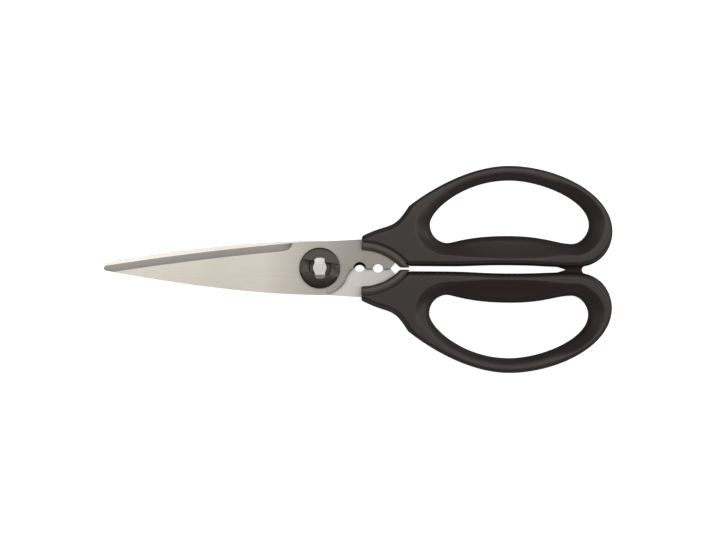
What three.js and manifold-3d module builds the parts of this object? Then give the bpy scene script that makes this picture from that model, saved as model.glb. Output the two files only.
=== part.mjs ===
// Take-apart kitchen scissors: two ground steel blades on a bayonet pivot, each carrying a
// finger bow with a soft grip moulded over a rigid core.
// Millimetres, +Z up. The origin is on the pivot axis, at the flat back of the pivot stud.
// +X runs from the pivot to the finger bows, +Y to the upper bow.

import * as THREE from 'three';
import { mergeVertices } from 'three/addons/utils/BufferGeometryUtils.js';
import Module from 'manifold-3d';

const wasm = await Module();
wasm.setup();

// Clearances
const bladeGap = 0.3;            // between the inner faces of the two blades
const seatGap = 0.3;             // round a piece that lies in a moulded seat
const runningGap = 0.1;          // radial, round the turned pieces of the pivot
const bearGap = 0.05;            // between flat faces that bear on each other
const stopGap = 0.3;             // between the two stop pads at rest

// Blade, seen from its outer face with the cutting edge at +Y
const bladeThickness = 2.5;
const bladeReach = 94.2;         // pivot axis to the tip
const pivotRound = 12.2;         // radius of the blade about the pivot axis
const spineRun = 36;             // the spine's curve aims at a point this far in front of the pivot
const tipRadius = 1.1;
const tipDrop = 0.75;            // the nose lies this far to the spine side of the centre line
const edgeHeel = 11;             // the cutting edge ends this far in front of the pivot
const edgeHeelHeight = 10.9;     // and this far from the centre line
const edgeBulge = 0.72;          // swell of the cutting edge over a straight line
const bevelWidth = 3.2;
const edgeThickness = 0.3;       // steel left under the bevel at the cutting edge
const bevelRunout = 4.4;         // length over which the bevel runs out at the heel
const ricassoTop = 12.6;         // upper edge where the blade meets the handle

// Stripping notches and tang, behind the pivot
const heelStep = 2.2;            // the stripping edge starts this far behind the pivot round
const heelLand = 0.4;            // steel between its corner and the big notch
const tangLap = 0.3;             // the two edges pass the centre line by this much
const bigNotchRadius = 2.6;
const notchPitch = 8;
const smallNotchRadius = 2.3;
const smallNotchOffset = 0.4;    // its centre lies this far past the centre line
const stemLand = 5;              // stripping edge behind the small notch's centre
const stemChamfer = 2.8;         // length of the chamfer that ends it
const lensRadius = 2.3;          // arcs of the rear blade's hole behind the big notch
const lensOffset = 0.9;          // their centres, from the centre line
const lipMargin = 0.5;           // steel of the rear blade past the big notch
const tangTop = 10.4;
const tangFoot = 2.8;            // lower edge inside the handle
const tangLength = 20.6;         // inside the handle
const anchorRadius = 2;          // hole in the tang that the core is moulded through
const anchorInset = 4.6;         // its centre, from the tang's end

// Pivot
const releaseAngle = 100;        // degrees open at which the stud's head passes the key slot
const tabAngle = 92;             // degrees from +X
const tabReach = 4.8;            // half the length of the stud's head
const tabWidth = 4.7;
const tabThickness = 1.2;
const studRadius = 3.1;
const studHeadRadius = 5.4;      // flat head behind the rear blade
const studHeadHeight = 1;
const shoulderRadius = 4.4;      // riveted shoulder let into the rear blade's inner face
const shoulderHeight = 0.8;
const capRadius = 8.95;
const capHeight = 2.2;
const capChamfer = 1;
const keyChannelWidth = 5.6;
const keyChannelDepth = 0.8;
const bushRadius = 5.9;
const bushFlangeRadius = 7.2;    // flange let into the front blade's inner face
const bushFlangeHeight = 0.6;
const bushBoss = 0.6;            // height of the bush above the front blade, inside the cap

// Finger bow, in plan
const neckX = 18.2;              // front face of the handle
const neckTop = 14.1;
const shoulderRun = 9.3;         // the neck's shoulder lies this far in front of the opening
const shoulderDrop = 17.9;       // and this far below the top of the arch
const bowLeft = 47.9;            // near end of the finger opening
const bowLength = 69.3;
const bowFloor = 11.35;          // lowest points of the opening, from the centre line
const bowHeight = 27.35;
const palmBulge = 3.25;          // rise of the bar into the opening
const bowCornerRise = 8.2;       // the opening is longest this far above its floor
const bowCornerRun = 7.35;       // its lowest points lie this far in from its ends
const archWidth = 6.5;
const heelWidth = 10.3;
const heelTip = 16.5;            // height of the rearmost point
const heelFoot = 6.2;            // the lower edge turns up this far in front of the opening's end
const footClear = 1.1;           // the grip's lower edge, from the centre line
const barClear = 1.75;           // the same at the middle of the bar
const footRun = 6.1;             // the lower edge is straight to this far behind the opening's start

// How full each curve in plan is: its two handles, as shares of its run and its rise
const openingFullness = {
  floorFront: [0.12, 0.67],
  floorRear: [0.57, 0.25],
  rearCorner: [0.54, 0.47],
  archRear: [0.56, 0.4],
  archFront: [0.58, 0.3],
  frontCorner: [0.76, 0.28],
};
const outlineFullness = {
  bar: [0.5, 0.5],
  rearCorner: [0.83, 0.3],
  archRear: [0.61, 0.44],
  archFront: 0.42,
};
const shoulderLead = [7.25, 5.8];     // handle of the arch at the shoulder
const shoulderTail = [6.9, 11.1];     // handle of the neck at the shoulder
const neckLead = [12.9, 6.4];         // handle of the neck at its front face

// Finger bow, across its thickness
const coreCheek = 1.9;           // core over each blade's outer face
const gripSkin = 1.95;           // grip over the core's face
const gripWall = 2;              // grip round the core, in plan
const gripRound = 2.2;           // rounding of the outer edge, in plan
const gripRoundDepth = 3;        // and across the thickness
const bowEdgeHalf = 3.3;         // half the thickness at the edge of the opening
const neckScoop = 6.2;           // width of the slope round the opening, at the neck
const archScoop = 3.6;
const heelScoop = 5.5;
const barCrest = 4.2;            // top of that slope on the bar, from the centre line

// Collar of the core over the tang
const collarDrop = 15.2;         // centre of its arcs, below the centre line
const collarRun = 0.1;           // and in front of the neck's face
const collarRadius = 23;
const collarWidth = 3.4;
const collarClear = 0.55;        // the collar's lower end, from the centre line

// Stop pads
const padInset = 6.45;           // centre, in front of the opening's far end
const padLength = 7.1;
const padWidth = 6.8;
const padCorner = 1.4;
const padSeat = 1;               // depth of the pad's pocket in the grip

// Worked out from the sizes above, with Z from the plane between the blades
const innerFace = bladeGap / 2;
const outerFace = innerFace + bladeThickness;
const midPlane = outerFace + bearGap + studHeadHeight;
const coreHalf = outerFace + coreCheek;
const handleHalf = coreHalf + gripSkin;
const heelCorner = pivotRound + heelStep;
const bigNotchX = heelCorner + heelLand + bigNotchRadius;
const smallNotchX = bigNotchX + notchPitch;
const stemEnd = smallNotchX + stemLand;
const rearLip = bigNotchRadius + lipMargin;
const tangEnd = neckX + tangLength;
const keyAngle = tabAngle - releaseAngle;
const keyReach = tabReach + runningGap;
const keyWidth = tabWidth + 2 * runningGap;
const capBase = outerFace + bearGap;
const capTop = capBase + capHeight;
const bowRight = bowLeft + bowLength;
const bowMiddle = bowLeft + bowLength / 2;
const bowCrown = bowFloor + bowHeight;
const bowCorner = bowFloor + bowCornerRise;
const collarX = neckX - collarRun;
const padX = bowRight - padInset;

// Fineness of the curves, and how far a cut runs past what it cuts
const roundSides = 36;
const curveSteps = 8;
const cornerSteps = 4;
const roundingSteps = 3;
const edgeSteps = 24;
const cutMargin = 3;
const weldDistance = 1e-4;       // points nearer than this are one point
const scoopLead = 0.1;           // share of the slope that the scoop's cut starts ahead of it

const point = (x, y) => new THREE.Vector2(x, y);

// Closed solids from three.js geometry

function solid(geometry) {
  const bare = new THREE.BufferGeometry();
  bare.setAttribute('position', geometry.getAttribute('position'));
  bare.setIndex(geometry.getIndex());
  const merged = mergeVertices(bare, weldDistance);
  const index = merged.getIndex().array;
  const triangles = [];
  for (let i = 0; i < index.length; i += 3) {
    const [a, b, c] = index.slice(i, i + 3);
    if (a !== b && b !== c && c !== a) triangles.push(a, b, c);
  }
  return new wasm.Manifold(new wasm.Mesh({
    numProp: 3,
    vertProperties: merged.getAttribute('position').array,
    triVerts: new Uint32Array(triangles),
  }));
}

function geometryOf(manifold) {
  const { vertProperties, triVerts } = manifold.getMesh();
  const geometry = new THREE.BufferGeometry();
  geometry.setAttribute('position', new THREE.BufferAttribute(vertProperties, 3));
  geometry.setIndex(new THREE.BufferAttribute(triVerts, 1));
  geometry.computeVertexNormals();
  return geometry;
}

function prism(shape, from, to) {
  const options = { depth: to - from, bevelEnabled: false, curveSegments: curveSteps };
  return solid(new THREE.ExtrudeGeometry(shape, options).translate(0, 0, from));
}

// A slab of the given half thickness whose outline lies inside the shape by inset, with its
// edges rounded or chamfered by round in plan and depth across.
function roundedSlab(shape, half, inset, round, depth, steps) {
  const geometry = new THREE.ExtrudeGeometry(shape, {
    depth: 2 * (half - depth),
    bevelEnabled: true,
    bevelSize: round,
    bevelThickness: depth,
    bevelOffset: -inset - round,
    bevelSegments: steps,
    curveSegments: curveSteps,
  });
  return solid(geometry.translate(0, 0, depth - half));
}

function disc(radius, from, to, x = 0, y = 0) {
  const geometry = new THREE.CylinderGeometry(radius, radius, to - from, roundSides);
  return solid(geometry.rotateX(Math.PI / 2).translate(x, y, (from + to) / 2));
}

function turned(profile) {
  const geometry = new THREE.LatheGeometry(profile, roundSides);
  return solid(geometry.rotateX(Math.PI / 2));
}

function bar(length, width, from, to, angle) {
  const geometry = new THREE.BoxGeometry(length, width, to - from);
  geometry.rotateZ(THREE.MathUtils.degToRad(angle));
  return solid(geometry.translate(0, 0, (from + to) / 2));
}

// A closed body through equal rings of points. Each ring runs counter-clockwise seen from the
// next one, and its u and v lay it out flat for its cap.
function loft(rings) {
  const size = rings[0].length;
  const index = [];
  for (let ring = 0; ring + 1 < rings.length; ring += 1) {
    for (let i = 0; i < size; i += 1) {
      const a = ring * size + i;
      const b = ring * size + ((i + 1) % size);
      index.push(a, b, b + size, a, b + size, a + size);
    }
  }
  const capOf = (ring) => THREE.ShapeUtils.triangulateShape(ring.map(({ u, v }) => point(u, v)), []);
  const last = (rings.length - 1) * size;
  for (const [a, b, c] of capOf(rings[0])) index.push(c, b, a);
  for (const [a, b, c] of capOf(rings.at(-1))) index.push(last + a, last + b, last + c);
  const geometry = new THREE.BufferGeometry();
  const positions = rings.flat().flatMap(({ x, y, z }) => [x, y, z]);
  geometry.setAttribute('position', new THREE.Float32BufferAttribute(positions, 3));
  geometry.setIndex(index);
  return solid(geometry);
}

// Blades

const nose = point(tipRadius - bladeReach, -tipDrop);

// The cutting edge, from the nose to its heel.
function edgeCurve() {
  const start = point(nose.x, nose.y + tipRadius);
  const heel = point(-edgeHeel, edgeHeelHeight);
  const middle = start.clone().lerp(heel, 0.5);
  middle.y += 2 * edgeBulge;
  return new THREE.QuadraticBezierCurve(start, middle, heel);
}

// The stripping edge drops at 45 degrees to the pivot round. This is how far.
function heelDrop() {
  const half = (heelCorner - tangLap) / 2;
  const outside = (heelCorner ** 2 + tangLap ** 2 - pivotRound ** 2) / 2;
  return half - Math.sqrt(half ** 2 - outside);
}

// From the stripping edge to the pivot round, the front blade has a short slope.
function frontHeel() {
  const drop = heelDrop();
  return [point(heelCorner, -tangLap), point(heelCorner - drop, -tangLap - drop)];
}

// The rear blade has a lip there, which closes the hole behind the big notch.
function rearHeel() {
  const lipEnd = bigNotchX + bigNotchRadius + lipMargin;
  const onRound = Math.sqrt(pivotRound ** 2 - rearLip ** 2);
  return [point(lipEnd + lipMargin, -tangLap), point(lipEnd, -rearLip), point(onRound, -rearLip)];
}

function bladeShape(heel) {
  const edge = edgeCurve();
  const shape = new THREE.Shape();
  shape.moveTo(edge.v0.x, edge.v0.y);
  shape.quadraticCurveTo(edge.v1.x, edge.v1.y, edge.v2.x, edge.v2.y);
  shape.lineTo(neckX - seatGap, ricassoTop);
  shape.lineTo(neckX - seatGap, tangTop);
  shape.lineTo(tangEnd, tangTop);
  shape.lineTo(tangEnd, tangFoot);
  shape.lineTo(stemEnd + stemChamfer, tangFoot);
  shape.lineTo(stemEnd, -tangLap);
  for (const corner of heel) shape.lineTo(corner.x, corner.y);
  shape.absarc(0, 0, pivotRound, heel.at(-1).angle(), 1.5 * Math.PI, true);
  shape.quadraticCurveTo(-spineRun, -pivotRound, nose.x, nose.y - tipRadius);
  shape.absarc(nose.x, nose.y, tipRadius, 1.5 * Math.PI, Math.PI / 2, true);
  return shape;
}

// What the grinding wheel takes off: a wedge along the cutting edge, running out at the heel.
function bevelWedge() {
  const edge = edgeCurve();
  const length = edge.getLength();
  const slope = (bladeThickness - edgeThickness) / bevelWidth;
  const section = (at, along, width) => {
    const low = outerFace - slope * (width + cutMargin);
    const high = outerFace + slope * cutMargin;
    const place = (u, z) => ({ x: at.x - along.y * u, y: at.y + along.x * u, z, u, v: z });
    return [place(cutMargin, low), place(cutMargin, high), place(-width - cutMargin, high)];
  };
  const along = edge.getTangent(0);
  const ahead = edge.v0.clone().addScaledVector(along, -cutMargin);
  const rings = [section(ahead, along, bevelWidth)];
  for (let i = 0; i <= edgeSteps; i += 1) {
    const left = (1 - i / edgeSteps) ** 2;
    const runout = Math.max(0, 1 - (left * length) / bevelRunout);
    const width = bevelWidth * Math.sqrt(1 - runout ** 2);
    rings.push(section(edge.getPoint(1 - left), edge.getTangent(1 - left), width));
  }
  return loft(rings);
}

function throughBlade(radius, x = 0, y = 0) {
  return disc(radius, innerFace - cutMargin, outerFace + cutMargin, x, y);
}

function innerRecess(radius, depth) {
  return disc(radius, innerFace - cutMargin, innerFace + depth);
}

function blade(heel) {
  const anchor = throughBlade(anchorRadius, tangEnd - anchorInset, (tangTop + tangFoot) / 2);
  return prism(bladeShape(heel), innerFace, outerFace)
    .subtract(bevelWedge())
    .subtract(throughBlade(smallNotchRadius, smallNotchX, -smallNotchOffset))
    .subtract(anchor);
}

function frontBlade() {
  return blade(frontHeel())
    .subtract(throughBlade(bigNotchRadius, bigNotchX, 0))
    .subtract(throughBlade(bushRadius + runningGap))
    .subtract(innerRecess(bushFlangeRadius + runningGap, bushFlangeHeight + bearGap));
}

function rearBlade() {
  const lens = throughBlade(lensRadius, bigNotchX, lensOffset)
    .intersect(throughBlade(lensRadius, bigNotchX, -lensOffset));
  return blade(rearHeel())
    .subtract(lens)
    .subtract(throughBlade(studRadius + runningGap))
    .subtract(innerRecess(shoulderRadius + runningGap, shoulderHeight + bearGap));
}

// Pivot

// The bayonet head's outline, or with the key's sizes the slot that it passes.
function bayonet(reach, width, radius, angle, from, to) {
  return bar(2 * reach, width, from, to, angle)
    .intersect(disc(reach, from, to))
    .add(disc(radius, from, to));
}

function keySlot() {
  const radius = studRadius + runningGap;
  return bayonet(keyReach, keyWidth, radius, keyAngle, innerFace - cutMargin, capTop + cutMargin);
}

function pivotStud() {
  const back = -outerFace - bearGap - studHeadHeight;
  const tabBase = capTop + runningGap;
  const stem = turned([
    point(0, back),
    point(studHeadRadius, back),
    point(studHeadRadius, back + studHeadHeight),
    point(studRadius, back + studHeadHeight),
    point(studRadius, -innerFace - shoulderHeight),
    point(shoulderRadius, -innerFace - shoulderHeight),
    point(shoulderRadius, -innerFace),
    point(studRadius, -innerFace),
    point(studRadius, tabBase + tabThickness),
    point(0, tabBase + tabThickness),
  ]);
  return stem.add(bayonet(tabReach, tabWidth, studRadius, tabAngle, tabBase, tabBase + tabThickness));
}

function pivotCap() {
  const disk = turned([
    point(0, capBase),
    point(capRadius, capBase),
    point(capRadius, capTop - capChamfer),
    point(capRadius - capChamfer, capTop),
    point(0, capTop),
  ]);
  const channelFloor = capTop - keyChannelDepth;
  const channelLength = 2 * (capRadius + cutMargin);
  return disk
    .subtract(disc(bushRadius + runningGap, capBase - cutMargin, capBase + bushBoss))
    .subtract(bar(channelLength, keyChannelWidth, channelFloor, capTop + cutMargin, keyAngle))
    .subtract(keySlot());
}

function pivotBush() {
  const sleeve = turned([
    point(0, innerFace),
    point(bushFlangeRadius, innerFace),
    point(bushFlangeRadius, innerFace + bushFlangeHeight),
    point(bushRadius, innerFace + bushFlangeHeight),
    point(bushRadius, outerFace + bushBoss),
    point(0, outerFace + bushBoss),
  ]);
  return sleeve.subtract(keySlot());
}

// Handles, in the upper bow's place

// Draws a curve that starts level and ends upright.
function levelToUpright(path, to, [runShare, riseShare]) {
  const from = path.currentPoint.clone();
  const run = (to.x - from.x) * runShare;
  const rise = (to.y - from.y) * riseShare;
  path.bezierCurveTo(from.x + run, from.y, to.x, to.y - rise, to.x, to.y);
}

// Draws a curve that starts upright and ends level.
function uprightToLevel(path, to, [riseShare, runShare]) {
  const from = path.currentPoint.clone();
  const run = (to.x - from.x) * runShare;
  const rise = (to.y - from.y) * riseShare;
  path.bezierCurveTo(from.x, from.y + rise, to.x - run, to.y, to.x, to.y);
}

// Draws a curve that is level at both ends.
function levelToLevel(path, to, [startShare, endShare]) {
  const from = path.currentPoint.clone();
  const run = to.x - from.x;
  path.bezierCurveTo(from.x + run * startShare, from.y, to.x - run * endShare, to.y, to.x, to.y);
}

// A finger opening, or the wider line where the slope round it starts, counter-clockwise.
function openingShape({ left, right, floor, bulge, corner, crown, run }) {
  const shape = new THREE.Shape();
  shape.moveTo(left + run, floor);
  levelToLevel(shape, point(bowMiddle, floor + bulge), openingFullness.floorFront);
  levelToLevel(shape, point(right - run, floor), openingFullness.floorRear);
  levelToUpright(shape, point(right, corner), openingFullness.rearCorner);
  uprightToLevel(shape, point(bowMiddle, crown), openingFullness.archRear);
  levelToUpright(shape, point(left, corner), openingFullness.archFront);
  uprightToLevel(shape, point(left + run, floor), openingFullness.frontCorner);
  return shape;
}

const opening = openingShape({
  left: bowLeft,
  right: bowRight,
  floor: bowFloor,
  bulge: palmBulge,
  corner: bowCorner,
  crown: bowCrown,
  run: bowCornerRun,
});
const scoopTop = openingShape({
  left: bowLeft - neckScoop,
  right: bowRight + heelScoop,
  floor: barCrest,
  bulge: 0,
  corner: bowCorner,
  crown: bowCrown + archScoop,
  run: bowCornerRun + neckScoop,
});

// The outer edge of the grip, drawn past the neck's front face and the collar, which trim it.
function outlineShape() {
  const front = neckX - gripWall - cutMargin;
  const neckSlope = neckLead[1] / neckLead[0];
  const shoulder = point(bowLeft - shoulderRun, bowCrown + archWidth - shoulderDrop);
  const shape = new THREE.Shape();
  shape.moveTo(front, footClear);
  shape.lineTo(bowLeft + footRun, footClear);
  levelToLevel(shape, point(bowMiddle, barClear), outlineFullness.bar);
  levelToLevel(shape, point(bowRight - heelFoot, footClear), outlineFullness.bar);
  levelToUpright(shape, point(bowRight + heelWidth, heelTip), outlineFullness.rearCorner);
  uprightToLevel(shape, point(bowMiddle, bowCrown + archWidth), outlineFullness.archRear);
  shape.bezierCurveTo(
    bowMiddle - outlineFullness.archFront * (bowMiddle - shoulder.x), bowCrown + archWidth,
    shoulder.x + shoulderLead[0], shoulder.y + shoulderLead[1],
    shoulder.x, shoulder.y,
  );
  shape.bezierCurveTo(
    shoulder.x - shoulderTail[0], shoulder.y - shoulderTail[1],
    neckX + neckLead[0], neckTop + neckLead[1],
    neckX, neckTop,
  );
  shape.lineTo(front, neckTop - neckSlope * (neckX - front));
  return shape;
}

// What the slope round the opening takes off one side of the handle, sunk by the given depth.
function scoop(depth, side) {
  const inner = opening.getPoints(curveSteps).slice(0, -1);
  const outer = scoopTop.getPoints(curveSteps).slice(0, -1);
  const rise = handleHalf - bowEdgeHalf;
  const ring = (share) => inner.map((p, i) => {
    const { x, y } = p.clone().lerp(outer[i], share);
    return { x, y, z: side * (bowEdgeHalf - depth + rise * share), u: x, v: y };
  });
  const rings = [ring(-scoopLead), ring(1 + (depth + cutMargin) / rise)];
  return loft(side > 0 ? rings : rings.reverse());
}

function aheadOfNeck() {
  const length = 2 * (gripWall + cutMargin);
  const height = 2 * (neckTop + cutMargin);
  const depth = 2 * (handleHalf + cutMargin);
  const geometry = new THREE.BoxGeometry(length, height, depth);
  return solid(geometry.translate(neckX - length / 2, 0, 0));
}

function collarDisc(radius) {
  return disc(radius, -handleHalf - cutMargin, handleHalf + cutMargin, collarX, -collarDrop);
}

// The core's body, or with a gap the room for it in the grip.
function coreBody(gap) {
  const shape = outlineShape();
  shape.holes.push(opening);
  return roundedSlab(shape, coreHalf + gap, gripWall - gap, 0, 0, 1)
    .subtract(scoop(gripSkin - gap, 1))
    .subtract(scoop(gripSkin - gap, -1));
}

// The band of the core that shows between the grip and the tang.
function collar() {
  const across = neckX - collarX;
  const end = collarClear + collarDrop;
  const shape = new THREE.Shape();
  const arc = (radius, outwards) => {
    const turns = [Math.acos(across / radius), Math.asin(end / radius)];
    const [from, to] = outwards ? turns.reverse() : turns;
    shape.absarc(collarX, -collarDrop, radius, from, to, !outwards);
  };
  arc(collarRadius, false);
  arc(collarRadius + collarWidth, true);
  return prism(shape, -coreHalf, coreHalf);
}

// The slot that the tang lies in, with the anchor left standing in its hole.
function tangSlot() {
  const shape = new THREE.Shape();
  shape.moveTo(neckX - cutMargin, tangTop + seatGap);
  shape.lineTo(neckX - cutMargin, -tangLap - seatGap);
  shape.lineTo(stemEnd + seatGap, -tangLap - seatGap);
  shape.lineTo(stemEnd + stemChamfer + seatGap, tangFoot - seatGap);
  shape.lineTo(tangEnd + seatGap, tangFoot - seatGap);
  shape.lineTo(tangEnd + seatGap, tangTop + seatGap);
  const anchor = throughBlade(anchorRadius - seatGap, tangEnd - anchorInset, (tangTop + tangFoot) / 2);
  return prism(shape, innerFace - seatGap, outerFace + seatGap).subtract(anchor);
}

function handleCore() {
  return coreBody(0)
    .subtract(aheadOfNeck())
    .subtract(collarDisc(collarRadius))
    .add(collar())
    .subtract(tangSlot());
}

// A pad's block with round corners, standing on the grip's lower edge between two heights.
function padBlock(gap, from, to) {
  const halfLength = padLength / 2 + gap;
  const halfWidth = padWidth / 2 + gap;
  const corner = padCorner + gap;
  const shape = new THREE.Shape();
  shape.absarc(halfLength - corner, halfWidth - corner, corner, 0, Math.PI / 2);
  shape.absarc(corner - halfLength, halfWidth - corner, corner, Math.PI / 2, Math.PI);
  shape.absarc(corner - halfLength, corner - halfWidth, corner, Math.PI, 1.5 * Math.PI);
  shape.absarc(halfLength - corner, corner - halfWidth, corner, 1.5 * Math.PI, 2 * Math.PI);
  const geometry = new THREE.ExtrudeGeometry(shape, {
    depth: to - from,
    bevelEnabled: false,
    curveSegments: cornerSteps,
  });
  return solid(geometry.rotateX(Math.PI / 2).translate(padX, to, 0));
}

function stopPad() {
  return padBlock(0, stopGap / 2, footClear + padSeat - seatGap);
}

function handleGrip() {
  return roundedSlab(outlineShape(), handleHalf, 0, gripRound, gripRoundDepth, roundingSteps)
    .subtract(prism(opening, -handleHalf - cutMargin, handleHalf + cutMargin))
    .subtract(scoop(0, 1))
    .subtract(scoop(0, -1))
    .subtract(aheadOfNeck())
    .subtract(collarDisc(collarRadius + collarWidth + seatGap))
    .subtract(coreBody(seatGap))
    .subtract(padBlock(seatGap, footClear - cutMargin, footClear + padSeat));
}

// Assembly

const finishes = {
  steel: { color: 0xc9c7c4, roughness: 0.32, metalness: 1 },
  stud: { color: 0xe4e4e2, roughness: 0.2, metalness: 1 },
  gloss: { color: 0x0c0d0d, roughness: 0.25, metalness: 0 },
  core: { color: 0x141312, roughness: 0.4, metalness: 0 },
  grip: { color: 0x1b1918, roughness: 0.55, metalness: 0 },
};

function piece(name, manifold, finish) {
  const mesh = new THREE.Mesh(geometryOf(manifold), new THREE.MeshStandardMaterial(finish));
  mesh.name = name;
  return mesh;
}

function handle(side) {
  const group = new THREE.Group();
  group.add(piece(`${side}_handle_core`, handleCore(), finishes.core));
  group.add(piece(`${side}_handle_grip`, handleGrip(), finishes.grip));
  group.add(piece(`${side}_stop_pad`, stopPad(), finishes.grip));
  return group;
}

const frontHalf = new THREE.Group();
frontHalf.add(piece('front_blade', frontBlade(), finishes.steel));
frontHalf.add(piece('pivot_bush', pivotBush(), finishes.core));
frontHalf.add(piece('pivot_cap', pivotCap(), finishes.gloss));
frontHalf.add(handle('upper'));

// The rear half is the front half turned over about the centre line.
const rearHalf = new THREE.Group();
rearHalf.rotation.x = Math.PI;
rearHalf.add(piece('rear_blade', rearBlade(), finishes.steel));
rearHalf.add(handle('lower'));

const scissors = new THREE.Group();
scissors.position.z = midPlane;
scissors.add(frontHalf, rearHalf, piece('pivot_stud', pivotStud(), finishes.stud));

export default scissors;
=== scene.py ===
"""Take-apart kitchen scissors: brushed steel blades on a bayonet pivot, with black moulded finger bows."""

import math

import bmesh
import bpy
import numpy as np
from bpy.props import FloatProperty, FloatVectorProperty, IntProperty, PointerProperty
from mathutils import Matrix, Vector
from mathutils.geometry import delaunay_2d_cdt


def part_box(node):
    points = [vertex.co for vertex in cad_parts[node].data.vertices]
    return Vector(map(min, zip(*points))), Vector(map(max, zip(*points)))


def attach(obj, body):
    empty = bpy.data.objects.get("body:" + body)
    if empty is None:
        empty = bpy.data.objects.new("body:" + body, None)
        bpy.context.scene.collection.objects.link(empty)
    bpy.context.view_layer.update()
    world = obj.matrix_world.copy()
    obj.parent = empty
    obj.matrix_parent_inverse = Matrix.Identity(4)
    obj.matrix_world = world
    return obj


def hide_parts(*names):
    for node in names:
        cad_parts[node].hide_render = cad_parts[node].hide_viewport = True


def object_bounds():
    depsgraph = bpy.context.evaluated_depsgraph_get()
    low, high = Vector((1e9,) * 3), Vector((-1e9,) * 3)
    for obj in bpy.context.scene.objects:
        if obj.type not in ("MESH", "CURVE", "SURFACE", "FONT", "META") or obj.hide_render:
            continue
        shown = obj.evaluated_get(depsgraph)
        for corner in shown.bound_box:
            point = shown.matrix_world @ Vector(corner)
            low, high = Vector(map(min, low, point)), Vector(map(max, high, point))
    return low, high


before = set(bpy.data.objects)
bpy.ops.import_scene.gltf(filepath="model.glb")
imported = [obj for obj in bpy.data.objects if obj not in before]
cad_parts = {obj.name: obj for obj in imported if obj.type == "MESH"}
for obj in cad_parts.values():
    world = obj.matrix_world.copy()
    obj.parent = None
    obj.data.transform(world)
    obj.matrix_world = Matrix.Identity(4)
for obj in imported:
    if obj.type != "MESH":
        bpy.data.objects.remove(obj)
CAD_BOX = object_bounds()

bl_info = {
    "name": "Kitchen scissors",
    "version": (1, 0, 0),
    "blender": (4, 5, 0),
    "location": "View3D > Sidebar > Scissors",
    "description": "Builds the blades, pivot and finger bows of a pair of kitchen scissors",
    "category": "Object",
}

MM = 0.001

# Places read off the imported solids

blade_low, blade_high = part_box("front_blade")
rear_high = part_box("rear_blade")[1]
grip_low, grip_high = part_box("upper_handle_grip")
core_low, core_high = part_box("upper_handle_core")
pad_low, pad_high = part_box("upper_stop_pad")
cap_low, cap_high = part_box("pivot_cap")
bush_low, bush_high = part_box("pivot_bush")
stud_low, stud_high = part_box("pivot_stud")
MID_PLANE = (blade_low.z + rear_high.z) / 2


def length(name, description, default):
    """A size that the user can change."""
    return FloatProperty(
        name=name, description=description, default=default, min=0, unit="LENGTH", precision=5
    )


def share(name, description, default):
    """A number from nought, mostly to one."""
    return FloatProperty(name=name, description=description, default=default, min=0, soft_max=1)


def turn(name, description, degrees):
    """An angle, given in degrees."""
    return FloatProperty(
        name=name,
        description=description,
        default=math.radians(degrees),
        subtype="ANGLE",
        unit="ROTATION",
    )


def tone(name, description, default):
    """A colour."""
    return FloatVectorProperty(
        name=name, description=description, default=default, size=3, min=0, max=1, subtype="COLOR"
    )


# Sizes and colours


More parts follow.
